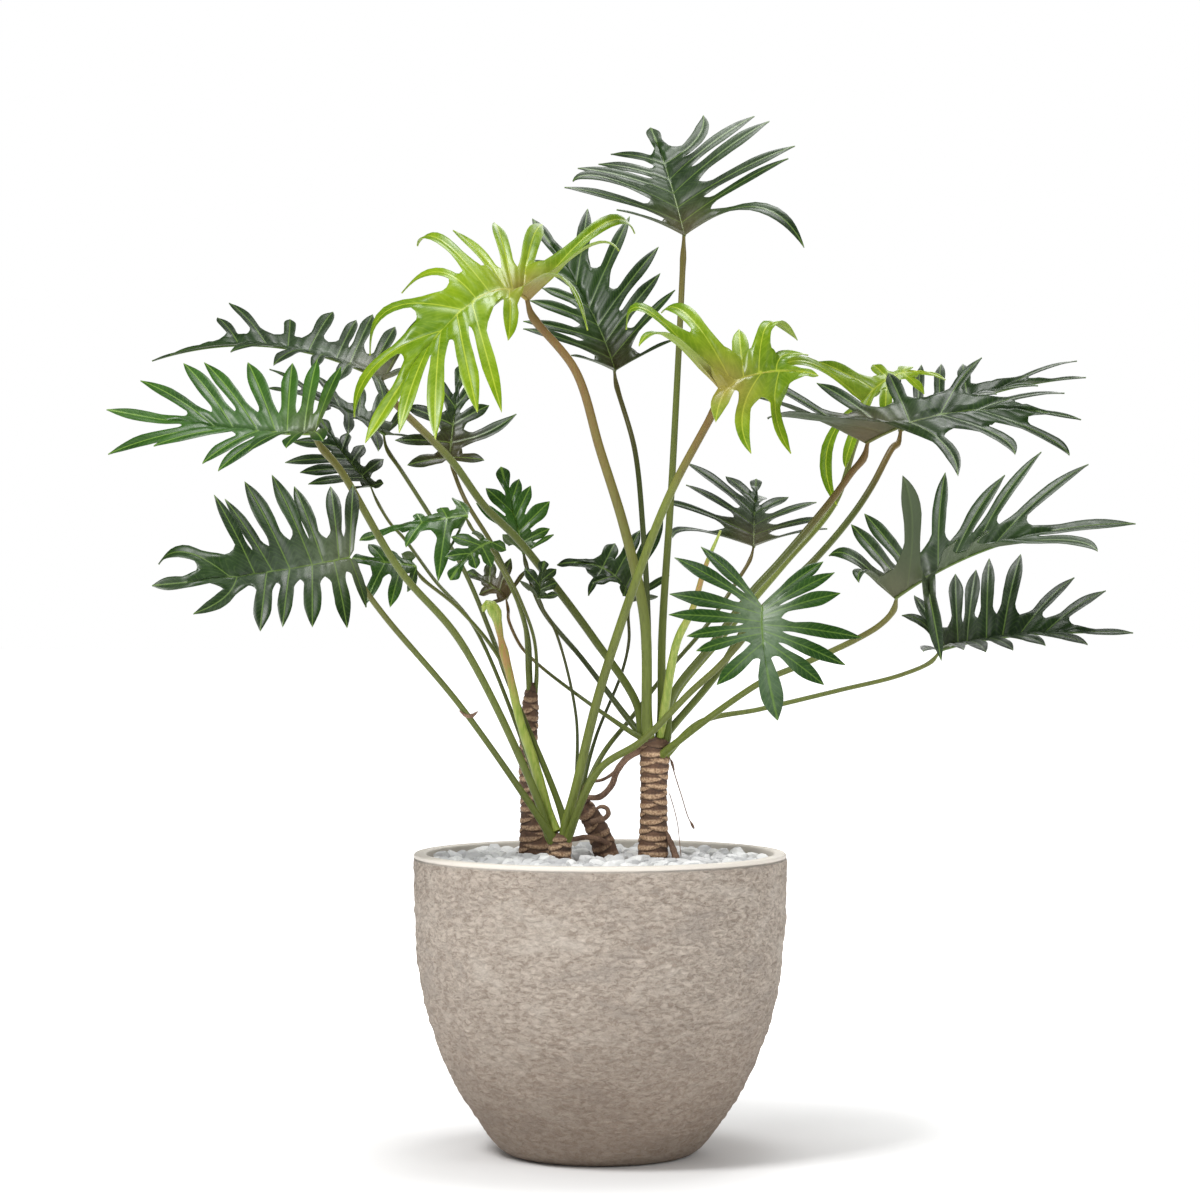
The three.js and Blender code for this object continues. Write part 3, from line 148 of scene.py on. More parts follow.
# Leaves. crown: the trunk that a leaf grows on. seat: the direction round the crown in degrees, and
# the ring, 0 on top, 1 and 2 lower down. strap: half a lobe's width. hub and apex: the two ends of
# the rib. rib: a point halfway along it. face: which way the upper side looks. left and right: the
# lobes' tips from the base on, seen from the upper side with the apex up, some with a point that
# the lobe arches through. left_roots, right_roots: where they leave the rib. last: where the lobe
# at the apex starts, tip: its half width, sinus: how far out the lobes part, where they differ from
# the species' own. base: the stalk's radius at its foot, girth: above its sheath and at its top.
# stalk: the places that it runs through, from below.
LEAVES = [
    dict(
        name="top", tone="dark", crown="right", seat=[45, 0], strap=9, base=5.6,
        hub=[102, 1107, 40], rib=[82, 1180, 120], apex=[61, 1237, 215], face=[0, -0.56, 0.83],
        left=[[20, 1138], [-43, 1165], [-33, 1172, 8, 1176], [-27, 1188], [-2, 1193], [13, 1205]],
        right=[
            [247, 1092, 188, 1141], [228, 1200], [236, 1215], [205, 1245], [187, 1251],
            [125, 1252, 116, 1222],
        ],
        girth=[5, 3.5],
        stalk=[[75, 618], [87, 811]],
    ),
    dict(
        name="lime_left", tone="lime", crown="right", seat=[215, 0], strap=10, base=6.4,
        hub=[-86, 1028, -60], rib=[-165, 1018, -125], apex=[-284, 856, -230],
        face=[-0.1, -0.5, 0.86],
        left=[
            [23, 1088, -16, 1092], [-15, 992, -48, 1056], [-111, 980], [-119, 893], [-148, 892],
            [-199, 859], [-243, 868],
        ],
        left_roots=[0, 0.06, 0.18, 0.45, 0.54, 0.63, 0.69],
        right=[
            [42, 1109, 0, 1118], [-70, 1120, -84, 1096], [-128, 1122, -118, 1096], [-178, 1113],
            [-221, 1094, -192, 1100], [-240, 1037, -195, 1062], [-278, 962, -252, 1018],
            [-297, 887, -270, 950],
        ],
        girth=[7, 4.8],
        stalk=[[54, 642], [30, 751], [0, 848], [-30, 944]],
    ),
    dict(
        name="back_fan", tone="dark", crown="right", seat=[130, 0], strap=8.5, base=5,
        hub=[18, 943, 150], rib=[-18, 1028, 205], apex=[-82, 1127, 280], face=[0.1, -0.77, 0.63],
        left=[[-35, 962], [-93, 994], [-93, 1003], [-85, 1028], [-70, 1043], [-86, 1077]],
        right=[[90, 981], [91, 1041], [73, 1061], [71, 1093], [36, 1130], [-15, 1139]],
        girth=[4, 3], sinus=0.3,
        stalk=[[58, 640], [52, 751], [42, 848]],
    ),
    dict(
        name="right_upper", tone="dark", crown="right", seat=[355, 1], strap=9, base=4.8,
        hub=[321, 856, 25], rib=[440, 894, 15], apex=[582, 884, -15], face=[-0.1, -0.3, 0.95],
        left=[[181, 939], [262, 928], [349, 940], [462, 959], [562, 916]],
        right=[
            [186, 912], [203, 885, 245, 888], [433, 816, 418, 852], [502, 842, 478, 866],
            [568, 841, 530, 868],
        ],
        girth=[4.8, 4.2], sinus=0.28,
        stalk=[[86, 547], [137, 614], [184, 676], [217, 712], [281, 788], [305, 821]],
    ),
    dict(
        name="right_far", tone="dark", crown="right", seat=[50, 1], strap=8, base=4.6,
        hub=[361, 870, 300], rib=[470, 915, 315], apex=[588, 935, 335], face=[-0.1, -0.3, 0.95],
        left=[[364, 949], [389, 950], [413, 951], [439, 951], [577, 955]],
        right=[[400, 905], [430, 905], [480, 915], [530, 925]],
        girth=[4.6, 4.2],
        stalk=[[138, 572], [184, 642], [261, 716], [305, 768], [329, 804], [353, 849]],
    ),
    dict(
        name="right_middle", tone="dark", crown="right", seat=[307, 2], strap=9.5, base=4.8,
        hub=[356, 668, -190], rib=[490, 735, -190], apex=[648, 758, -200], face=[0.1, -0.45, 0.9],
        left=[
            [277, 719, 308, 716], [304, 757], [320, 770], [418, 820], [490, 817], [534, 845],
            [591, 830],
        ],
        right=[
            [313, 687, 322, 700], [366, 816, 378, 760], [413, 592, 403, 650], [432, 738],
            [470, 748], [602, 725, 560, 738],
        ],
        girth=[4, 3.4], last=0.6, tip=13,
        stalk=[[194, 566], [242, 587], [309, 618], [339, 636]],
    ),
    dict(
        name="right_low", tone="dark", crown="right", seat=[340, 2], strap=9, base=4.6,
        hub=[409, 605, -40], rib=[505, 623, -35], apex=[645, 626, -50], face=[0, -0.4, 0.92],
        left=[
            [365, 647, 392, 636], [380, 671], [430, 697], [455, 702], [471, 716], [509, 721],
            [574, 693], [612, 677],
        ],
        right=[[391, 604], [440, 606], [467, 603], [500, 605], [539, 611], [590, 612]],
        girth=[3.2, 2.5], sinus=0.24,
        stalk=[[121, 518], [194, 534], [290, 557], [363, 575]],
    ),
    dict(
        name="right_small", tone="dark", crown="left_front", seat=[52, 1], strap=8, base=4.4,
        hub=[186, 731, 245], rib=[187, 778, 320], apex=[189, 812, 395], face=[0, -0.45, 0.9],
        left=[[88, 741, 112, 751], [78, 783, 118, 774], [104, 805], [104, 832], [152, 815]],
        right=[[275, 752], [272, 764], [262, 784], [228, 790], [199, 790]],
        girth=[3, 2.4],
        stalk=[[0, 474, 4], [40, 526, 48], [80, 578, 75], [125, 630, 110], [166, 689, 185]],
    ),
    dict(
        name="front", tone="mid", crown="left_front", seat=[320, 1], strap=9, base=4.8,
        hub=[196, 657, -225], rib=[199, 600, -245], apex=[215, 520, -255], face=[0, -0.97, 0.2],
        left=[[270, 712], [284, 699], [291, 674], [317, 620], [297, 587], [271, 563]],
        right=[[122, 730], [90, 717], [84, 673], [83, 648], [105, 622], [116, 604], [141, 563]],
        girth=[4.6, 3.6], last=0.51, tip=13,
        stalk=[[0, 462], [50, 495], [109, 554], [144, 586], [174, 620]],
    ),
    dict(
        name="lime_far", tone="lime", crown="right", seat=[22, 1], strap=9, base=4.8,
        hub=[318, 905, 190], rib=[365, 940, 200], apex=[418, 932, 215], face=[-0.1, -0.4, 0.9],
        left=[[215, 942, 255, 952], [264, 954], [330, 950], [372, 948]],
        right=[[287, 780, 276, 850], [297, 826, 307, 864], [345, 880], [392, 915]],
        girth=[4.4, 3.6],
        stalk=[[88, 545], [140, 612], [220, 706], [285, 785, 180], [307, 850, 205]],
    ),
    dict(
        name="left_top", tone="dark", crown="right", seat=[176, 1], strap=8.5, base=5,
        hub=[-262, 932, 115], rib=[-400, 973, 120], apex=[-542, 955, 105], face=[-0.1, -0.2, 0.97],
        left=[
            [-225, 945], [-262, 905], [-318, 930], [-348, 944], [-395, 950], [-447, 966],
            [-520, 962],
        ],
        right=[
            [-219, 1008], [-248, 996], [-275, 1011], [-295, 1004], [-323, 1014], [-375, 1005],
            [-449, 1025], [-463, 1007],
        ],
        girth=[5, 4.6],
        stalk=[[44, 541], [-8, 620], [-60, 690], [-100, 740], [-140, 780], [-180, 835]],
    ),
    dict(
        name="left_long", tone="mid", crown="left_front", seat=[185, 1], strap=10, base=5.2,
        hub=[-345, 868, -70], rib=[-462, 874, -60], apex=[-597, 896, -60], face=[0, -0.6, 0.8],
        left=[
            [-335, 858], [-380, 850], [-425, 846], [-462, 822], [-481, 831], [-540, 852],
            [-595, 842],
        ],
        right=[
            [-313, 948], [-342, 956], [-372, 952], [-426, 953], [-479, 953], [-504, 952],
            [-556, 931],
        ],
        girth=[4.5, 4.5], last=0.66, tip=11,
        stalk=[[-73, 419], [-169, 616], [-242, 702], [-314, 823]],
    ),
    dict(
        name="left_low", tone="dark", crown="left_front", seat=[219, 1], strap=9.5, base=5,
        hub=[-303, 717, -200], rib=[-415, 697, -225], apex=[-542, 683, -240], face=[0, -0.8, 0.6],
        left=[
            [-283, 657], [-306, 632], [-348, 633], [-384, 633], [-411, 628], [-492, 649, -455, 668],
        ],
        right=[
            [-299, 805], [-326, 803], [-370, 803], [-397, 817], [-430, 809], [-454, 788],
            [-467, 793], [-534, 709, -500, 723],
        ],
        girth=[3.7, 3.4], sinus=0.26,
        stalk=[[-169, 538], [-257, 642], [-284, 678]],
    ),
    dict(
        name="left_inner", tone="mid", crown="left_front", seat=[152, 1], strap=8, base=4,
        hub=[-222, 706, 30], rib=[-264, 712, 25], apex=[-300, 716, 20], face=[0.1, -0.7, 0.7],
        left=[[-233, 676], [-254, 657], [-284, 660]],
        right=[[-240, 722], [-262, 727], [-280, 733]],
        girth=[2.7, 2.2], sinus=0.3,
        stalk=[[-114, 581], [-169, 654]],
    ),
    dict(
        name="lime_centre", tone="lime", crown="left_front", seat=[325, 0], strap=10, base=5.6,
        hub=[145, 921, -105], rib=[205, 942, -90], apex=[264, 937, -80], face=[-0.1, -0.5, 0.86],
        left=[
            [32, 993, 60, 1014], [74, 1013, 108, 1008], [168, 993], [239, 980, 204, 999],
            [252, 962, 222, 961],
        ],
        right=[
            [47, 973, 84, 984], [140, 881, 150, 915], [183, 843, 172, 890], [231, 843, 212, 890],
        ],
        right_roots=[0, 0.2, 0.42, 0.6], girth=[6, 4.6], sinus=0.3,
        stalk=[[-30, 436], [0, 557], [48, 702], [87, 799]],
    ),
    dict(
        name="centre_green", tone="mid", crown="right", seat=[145, 1], strap=9, base=4.6,
        hub=[-92, 722, 150], rib=[-106, 775, 165], apex=[-120, 827, 180], face=[0.1, -0.9, 0.35],
        left=[[-118, 745], [-150, 783], [-138, 801]],
        right=[[-56, 745], [-61, 752], [-61, 785], [-84, 804], [-98, 812]],
        girth=[3.7, 2.6], sinus=0.34,
        stalk=[[31, 526], [-20, 593], [-70, 655]],
    ),
    dict(
        name="centre_dark", tone="dark", crown="middle", seat=[60, 0], strap=9, base=3.6,
        hub=[38, 664, 150], rib=[4, 704, 165], apex=[-52, 708, 185], face=[0.1, -0.6, 0.8],
        left=[[70, 670], [28, 671], [-9, 686], [-14, 671]],
        right=[[84, 696], [76, 764], [48, 750], [18, 734]],
        girth=[2.1, 1.9], sinus=0.3,
        stalk=[[-5, 500], [27, 580], [35, 617]],
    ),
    dict(
        name="left_fan", tone="dark", crown="left_back", seat=[110, 0], strap=8.5, base=3.6,
        hub=[-182, 838, 135], rib=[-175, 897, 160], apex=[-166, 951, 190], face=[0, -0.85, 0.5],
        left=[[-233, 829], [-248, 859], [-235, 900], [-204, 936]],
        right=[[-140, 835], [-101, 891, -138, 868], [-134, 901], [-150, 928]],
        girth=[3.2, 2.6],
        stalk=[[-87, 618], [-100, 666], [-127, 727], [-163, 787]],
    ),
    dict(
        name="left_flat", tone="dark", crown="left_front", seat=[62, 0], strap=8, base=4.4,
        hub=[-259, 866, 215], rib=[-330, 904, 215], apex=[-402, 922, 205], face=[0, -0.35, 0.93],
        left=[[-225, 860], [-268, 846], [-305, 866], [-336, 893]],
        right=[[-228, 905], [-262, 918], [-290, 927], [-345, 938], [-400, 945]],
        girth=[3.4, 2.6],
        stalk=[[-112, 570, 28], [-130, 620], [-165, 703], [-206, 769], [-240, 822]],
    ),
    dict(
        name="left_back", tone="dark", crown="left_front", seat=[118, 1], strap=8, base=4.2,
        hub=[-276, 803, 240], rib=[-312, 845, 265], apex=[-338, 885, 290], face=[0, -0.8, 0.6],
        left=[[-300, 800], [-353, 806], [-363, 820], [-381, 832], [-372, 857]],
        right=[[-262, 807], [-262, 836], [-286, 853], [-305, 868]],
        girth=[2.6, 2],
        stalk=[[-150, 630, 65], [-200, 690, 110], [-235, 738, 160], [-256, 762, 215]],
    ),
    dict(
        name="young_left", tone="mid", crown="left_back", seat=[230, 0], strap=8, base=3.6,
        hub=[-160, 768, 15], rib=[-222, 757, -5], apex=[-291, 738, -30], face=[0, -0.6, 0.8],
        left=[[-188, 716], [-196, 688], [-235, 730]],
        right=[[-178, 789], [-193, 777], [-222, 770]],
        girth=[2.6, 2], sinus=0.3,
        stalk=[[-92, 640], [-112, 690], [-140, 735]],
    ),
    dict(
        name="glossy", tone="mid", crown="left_back", seat=[350, 0], strap=8, base=3.4,
        hub=[-132, 736, -45], rib=[-158, 720, -55], apex=[-181, 690, -65], face=[0.1, -0.9, 0.4],
        left=[[-114, 726], [-131, 706], [-150, 704]],
        right=[[-155, 747], [-180, 742], [-187, 718]],
        girth=[2.2, 1.9], sinus=0.3,
        stalk=[[-80, 620], [-96, 665], [-108, 690]],
    ),
    dict(
        name="brown_stalk", tone="dark", crown="right", seat=[225, 1], strap=7.5, base=4,
        hub=[-112, 668, 130], rib=[-136, 686, 145], apex=[-161, 700, 160], face=[0, -0.8, 0.6],
        left=[[-128, 662], [-146, 672]],
        right=[[-88, 703], [-108, 716], [-132, 713]],
        girth=[2.5, 1.9], sinus=0.3,
        stalk=[[38, 506], [-20, 546, 20], [-79, 592, 85], [-97, 612, 105], [-110, 640]],
    ),
    dict(
        name="tiny", tone="dark", crown="middle", seat=[240, 0], strap=7, base=3.2,
        hub=[-74, 668, 20], rib=[-72, 690, 28], apex=[-67, 713, 36], face=[0, -0.9, 0.4],
        left=[[-97, 689], [-91, 704]],
        right=[[-50, 672], [-52, 687], [-53, 703]],
        girth=[1.9, 1.7], sinus=0.3,
        stalk=[[-29, 526], [-53, 626]],
    ),
]

# How each leaf differs in colour: blush, the brown pink of the stalk's top and of the hub, and the
# painted sheen, a silver reflection painted on the web. Stalks are painted paler than olive where
# they are lit and darker where they are in shade.
BLUSH = {
    "lime_left": 1.0, "lime_centre": 0.9, "right_upper": 0.85, "right_far": 0.75, "top": 0.55,
    "back_fan": 0.3, "right_middle": 0.35, "left_top": 0.5, "left_long": 0.35, "left_low": 0.2,
    "right_small": 0.5, "brown_stalk": 0.8, "left_fan": 0.4,
}
# Painted sheen: how strongly a silver reflection is painted on each leaf's web
PAINTED_SHEEN = {
    "left_top": 0.45, "left_low": 0.5, "front": 0.95, "right_middle": 0.3, "top": 0.2,
    "right_small": 0.35, "left_long": 0.3, "right_upper": 0.2, "left_flat": 0.35,
}
SHADE = {"front": 0.6, "glossy": 0.3, "centre_green": 0.25, "right_low": 0.3}
# Painted light on the stalks: above 0 a stalk is painted paler as lit, below 0 darker as shaded
PAINTED_LIGHT = {
    "top": 0.35, "lime_left": 0.7, "lime_centre": 0.85, "front": 0.45, "right_low": 0.3,
    "right_middle": 0.3, "left_long": 0.4, "left_low": 0.2, "lime_far": 0.8, "back_fan": -0.5,
    "brown_stalk": -0.1, "centre_dark": -0.7, "tiny": -0.6, "left_back": -0.2, "left_top": 0,
    "left_flat": -0.1, "centre_green": -0.7, "young_left": 0.2, "glossy": 0.1, "left_fan": -0.3,
}

# Other stems and roots: points across, up and deep, each with the radius there
YOUNG_SHOOT = [
    [-52, 386, -29, 5], [-63, 410, -20, 6.5], [-80, 470, -12, 6.2], [-97, 521, -8, 5.4],
    [-108, 570, -5, 4.8], [-116, 602, -3, 5.6], [-120, 620, -2, 3.6], [-124, 640, -1, 5.6],
    [-127, 651, 0, 8], [-134, 660, 1, 7.4], [-140, 658, 2, 4.4], [-141, 652, 3, 1.6],
]
ROLLED_LEAF = [
    [73, 500, -6, 4], [77, 526, -14, 5.6], [93, 615, -34, 5], [112, 655, -46, 4],
    [127, 705, -58, 3], [146, 750, -70, 1.4],
]
AERIAL_ROOTS = {
    "root_upper": [
        [52, 485, 0, 3.4], [46, 482, -4, 3.8], [34, 476, -8, 4.2], [21, 460, -6, 4],
        [14, 442, 0, 3.8], [0, 428, 7, 3.8], [-14, 427, 9.2, 3.4], [-24, 428, 14, 3],
    ],
    "root_curl": [
        [-9, 397, 16, 2.6], [-11, 398, 6, 2.9], [-10, 398, -2, 3.1], [-5, 399, -7, 3.3],
        [4, 401, -8, 3.2], [10, 407, -6, 3], [8, 414, -2, 2.8], [1, 416, 0, 2.4], [-5, 413, 0, 1.8],
    ],
    "root_low": [
        [-36, 376, -26, 3], [-29.5, 377, -20, 3.2], [-15, 379, -2, 3.4], [0, 376, 5.4, 3.4],
        [10, 371, 14, 3.2],
    ],
}
SPARE_ROOTS = {
    "root_strand": [
        [52, 490, 0, 2], [47, 488, -3, 2.2], [34, 474, 4, 2.4], [18, 458, 10, 2.2],
        [4, 449, 14, 2], [-16, 444, 20, 1.6], [-22, 436, 22, 1.2],
    ],
    "root_buttress": [
        [76, 392, -4, 2.4], [82, 380, -7, 3.4], [88, 366, -9, 4.2], [93, 350, -10, 4.6],
    ],
    "fibre_hanging": [
        [82, 482, -4, 0.8], [86, 470, -6, 0.75], [92, 450, -7, 0.7], [99, 428, -8, 0.65],
        [106, 405, -9, 0.65], [112, 392, -9, 0.7],
    ],
    "fibre_bead_upper": [
        [86, 473, -6, 0.6], [87, 469, -6, 1.9], [88.5, 464, -6, 1.5], [90, 460, -6, 0.5],
    ],
    "fibre_bead_lower": [
        [109, 399, -9, 0.5], [111, 395, -9, 1.7], [113, 391, -9, 1.6], [114, 389, -9, 0.4],
    ],
    "fibre_low": [
        [84, 432, -6, 0.6], [90, 412, -9, 0.55], [94, 394, -9, 0.55], [96, 376, -10, 0.5],
        [98, 356, -12, 0.5],
    ],
    "fibre_left": [
        [-170, 532, -118, 0.6], [-162, 526, -113, 2.2], [-155, 526, -108, 2.6],
        [-148, 531, -104, 0.7],
    ],
}


def front(across, up, depth):
    """The place, in metres, that is seen across and up at the pot's axis, in millimetres, moved
    back by its depth along its line of sight."""
    scale = (VIEW_DISTANCE + depth * MM) / VIEW_DISTANCE
    height = VIEW_HEIGHT + (up * MM - VIEW_HEIGHT) * scale
    return np.array([across * MM * scale, depth * MM, height])


def unit(vectors):
    """Each vector over its own length."""
    return vectors / np.maximum(np.linalg.norm(vectors, axis=-1, keepdims=True), 1e-12)


def without(vectors, direction):
    """Each vector less its part along a direction, one unit long."""
    return unit(vectors - np.sum(vectors * direction, axis=-1, keepdims=True) * direction)


def smooth(low, high, value):
    """0 below low, 1 above high, and 3x^2 - 2x^3 between them."""
    x = np.clip((value - low) / (high - low), 0, 1)
    return x * x * (3 - 2 * x)


def arc(curve, share):
    """Points of a curve with one control point: start (1-t)^2 + 2 control t (1-t) + end t^2."""
    start, control, end = curve
    t = np.asarray(share, float)[..., None]
    return start * (1 - t) ** 2 + 2 * control * t * (1 - t) + end * t**2


def arc_way(curve, share):
    """The direction of that curve, from its slope: (control - start)(1-t) + (end - control) t."""
    start, control, end = curve
    t = np.asarray(share, float)[..., None]
    return unit((control - start) * (1 - t) + (end - control) * t)


def flowing(places, count):
    """Evenly spaced points on a smooth line through all the places, and the share of the list that
    each lies at. Each span is a cubic whose slopes follow the neighbours, weighed by the square
    root of their distances."""
    ends = np.vstack([2 * places[0] - places[1], places, 2 * places[-1] - places[-2]])
    step = np.sqrt(np.linalg.norm(np.diff(ends, axis=0), axis=1))[:, None]
    before, here, after = step[:-2], step[1:-1], step[2:]
    a, b, c, d = ends[:-3], ends[1:-2], ends[2:-1], ends[3:]
    slope_b = ((b - a) / before - (c - a) / (before + here) + (c - b) / here) * here
    slope_c = ((c - b) / here - (d - b) / (here + after) + (d - c) / after) * here
    t = np.linspace(0, 1, 40, endpoint=False)[None, :, None]
    spans = (
        b[:, None]
        + slope_b[:, None] * t
        + (3 * (c - b) - 2 * slope_b - slope_c)[:, None] * t**2
        + (2 * (b - c) + slope_b + slope_c)[:, None] * t**3
    )
    line = np.vstack([spans.reshape(-1, 3), places[-1]])
    travelled = np.append(0, np.cumsum(np.linalg.norm(np.diff(line, axis=0), axis=1)))
    at = np.linspace(0, travelled[-1], count)
    points = np.stack([np.interp(at, travelled, line[:, axis]) for axis in range(3)], axis=1)
    index = np.interp(at, travelled, np.linspace(0, len(places) - 1, len(line)))
    return points, index


def carried_frames(line):
    """The direction of a line at each point and two directions across it, where the first is
    carried along the line with as little turning as can be."""
    way = unit(np.gradient(line, axis=0))
    side = without(np.array([1, 0.3, 0.1]), way[0])
    sides = []
    for direction in way:
        side = without(side, direction)
        sides.append(side)
    sides = np.array(sides)
    return way, sides, np.cross(way, sides)


def grid_triangles(ids, turned=False):
    """Two triangles for each cell of a grid of point numbers, facing rows x columns, or turned."""
    a, b, c, d = ids[:-1, :-1], ids[:-1, 1:], ids[1:, 1:], ids[1:, :-1]
    halves = [np.stack(corners, -1).reshape(-1, 3) for corners in ((a, b, c), (a, c, d))]
    cells = np.concatenate(halves)
    return cells[:, ::-1] if turned else cells


def fan(ids, tip, turned=False):
    """Triangles from each step along a row of point numbers to one tip."""
    faces = np.stack([ids[:-1], ids[1:], np.full(len(ids) - 1, tip)], 1)
    return faces[:, ::-1] if turned else faces


def closed_rings(rings, foot, head):
    """Rings of points joined into a closed skin, with one more point in the middle of each end."""
    count, sides = rings.shape[:2]
    ids = np.arange(count * sides).reshape(count, sides)
    ids = np.hstack([ids, ids[:, :1]])
    points = np.vstack([rings.reshape(-1, 3), foot, head])
    ends = [fan(ids[0], count * sides, True), fan(ids[-1], count * sides + 1)]
    return points, np.vstack([grid_triangles(ids), *ends])


def tube(line, radii, sides, flatten=1.0):
    """A closed tube: a ring of sides round each point, at centre + r (cos a side + sin a other),
    with a point in the middle of each end. flatten widens the ring along its first direction. The
    ring's radii may differ round it."""
    _, side, other = carried_frames(line)
    angle = np.arange(sides) / sides * 2 * np.pi
    radii = np.asarray(radii, float)
    radii = radii[:, None] if radii.ndim == 1 else radii
    wide = np.broadcast_to(flatten, len(line))
    out = (
        side[:, None] * (np.cos(angle)[None] * wide[:, None])[..., None]
        + other[:, None] * np.sin(angle)[None, :, None]
    )
    return closed_rings(line[:, None] + out * radii[..., None], line[0], line[-1])


def along_tube(values, sides):
    """A value for each ring of a tube as a value for each of its points."""
    return np.concatenate([np.repeat(values, sides), values[:1], values[-1:]])


def normals_of(points, triangles):
    """The direction out of a surface at each point: the sum of its faces' normals, made a unit."""
    corner = points[triangles]
    out = np.cross(corner[:, 1] - corner[:, 0], corner[:, 2] - corner[:, 0])
    total = np.zeros_like(points)
    for index in range(3):
        np.add.at(total, triangles[:, index], out)
    return unit(total)


def thickened(points, triangles, thickness):
    """A sheet made solid: every point moved half the thickness out for the upper side and as far in
    for the lower one, with walls along the open edges."""
    half = normals_of(points, triangles) * np.asarray(thickness)[..., None] / 2
    count = len(points)
    edges = np.vstack([triangles[:, [0, 1]], triangles[:, [1, 2]], triangles[:, [2, 0]]])
    lone = ~np.isin(edges[:, 0] * count + edges[:, 1], edges[:, 1] * count + edges[:, 0])
    a, b = edges[lone].T
    walls = np.vstack([np.stack([b, a, a + count], 1), np.stack([b, a + count, b + count], 1)])
    solid = np.vstack([triangles, triangles[:, ::-1] + count, walls])
    return np.vstack([points + half, points - half]), solid


def joined(*parts):
    """Several solids as one, each with its points, its triangles and a dictionary of values."""
    points = np.vstack([part[0] for part in parts])
    starts = np.cumsum([0] + [len(part[0]) for part in parts[:-1]])
    triangles = np.vstack([part[1] + start for part, start in zip(parts, starts)])
    names = sorted(set().union(*(part[2] for part in parts)))
    empty = [np.zeros(len(part[0])) for part in parts]
    values = {
        name: np.concatenate([part[2].get(name, zero) for part, zero in zip(parts, empty)])
        for name in names
    }
    return points, triangles, values


def add_piece(name, solid, material, nodes=(), crease=48):
    """Puts a solid into a mesh object that rides on the plant and stands for CAD nodes. Edges
    sharper than the crease in degrees stay sharp, and with a crease of 0 every face is flat."""
    points, triangles, values = solid
    mesh = bpy.data.meshes.new(name)
    mesh.from_pydata(points.tolist(), [], triangles.tolist())
    for key, value in values.items():
        attribute = mesh.attributes.new(key, "FLOAT", "POINT")
        attribute.data.foreach_set("value", np.asarray(value, np.float32))
    mesh.polygons.foreach_set("use_smooth", np.full(len(triangles), crease > 0))
    if crease > 0:
        mesh.set_sharp_from_angle(angle=math.radians(crease))
    mesh.materials.append(material)
    mesh.update()
    piece = bpy.data.objects.new(name, mesh)
    bpy.context.scene.collection.objects.link(piece)
    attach(piece, "root")
    if nodes:
        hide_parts(*nodes)


# Leaves
def tail_of(leaf):
    """The share of the rib at which the lobe at the apex starts."""
    return leaf.get("last", LAST_LOBE)


def rib_of(leaf):
    """The rib's curve through its hub, its halfway point and its apex."""
    hub, halfway, apex = front(*leaf["hub"]), front(*leaf["rib"]), front(*leaf["apex"])
    return hub, 2 * halfway - hub / 2 - apex / 2, apex


def blade_frame(leaf, rib, share):
    """Directions on the blade at a share of the rib: along it, out of its face and to its left."""
    along = arc_way(rib, share)
    normal = without(np.array(leaf["face"], float), along)
    return along, normal, np.cross(normal, along)


def lobes_of(leaf, rib, side):
    """One side's lobes from the base on. Basal lobes point back, front ones forward, and they grow
    shorter towards the apex; each follows a curve from its root on the rib to its tip."""
    tips = leaf["left"] if side > 0 else leaf["right"]
    roots = leaf.get("left_roots" if side > 0 else "right_roots")
    size = np.linalg.norm(rib[2] - rib[0])
    lobes = []
    for index, tip in enumerate(tips):
        rank = index / (len(tips) - 1)
        rule = roots[index] if roots else (tail_of(leaf) - 0.05) * (index / len(tips)) ** 1.2
        share = math.floor(rule / ROOT_PITCH + 0.5) * ROOT_PITCH
        angle = math.radians(BASAL_ANGLE + (FRONT_ANGLE - BASAL_ANGLE) * rank**0.75)
        along, normal, left = blade_frame(leaf, rib, share)
        root = arc(rib, share)
        seen = np.linalg.norm(root - front(tip[0], tip[1], root[1] / MM))
        length = max(size * (0.52 - 0.16 * rank), seen)
        outward = along * math.cos(angle) + left * side * math.sin(angle)
        most = math.sqrt((LONGEST * length) ** 2 - seen**2)
        depth = root[1] + min(max(outward[1] * length, -most), most)
        end = front(tip[0], tip[1], depth / MM)
        middle = (root + end) / 2
        if len(tip) > 2:
            control = 2 * front(tip[2], tip[3], middle[1] / MM) - middle
        else:
            control = middle + normal * LOBE_ARCH * np.linalg.norm(end - root)
        forward = along * math.sin(angle) - left * side * math.cos(angle)
        lobes.append({"share": share, "vein": (root, control, end), "forward": forward})
    return lobes


def apart(first, second, share):
    """The distance between two veins at a share of each."""
    return np.linalg.norm(arc(first, share) - arc(second, share), axis=-1)


def strap_shape(share):
    """How wide a lobe is along its length: 0.86 near the sinus, 1 over the middle, then narrowing
    along a rounded line to a point."""
    swell = 0.86 + 0.14 * smooth(0.3, 0.55, share)
    point = np.clip((share - STRAP_END + 0.05) / (1 - STRAP_END + 0.05), 0, 1)
    return swell * (1 - point**1.75)


def rows_of(leaf):
    """The rows of a leaf's lobes as shares of the vein's length, and the sinus: six rows lie up to
    the sinus and thirteen beyond it."""
    sinus = leaf.get("sinus", SINUS)
    return np.concatenate([sinus * INNER_PARTS, sinus + (1 - sinus) * OUTER_PARTS]), sinus


def parted(rows, sinus, strap, midline):
    """A lobe's edge: the midline to its neighbour up to the sinus, then its own strap, which is
    reached by the midline's offset there times (1 - t)^2, with t from 0 to 1 over the turn."""
    at_sinus = len(INNER_PARTS) - 1
    left = (np.clip(1 - (rows - sinus) / SINUS_TURN, 0, 1) ** 2)[:, None]
    turned = strap + (midline[at_sinus] - strap[at_sinus]) * left
    return np.where((rows <= sinus)[:, None], midline, turned)


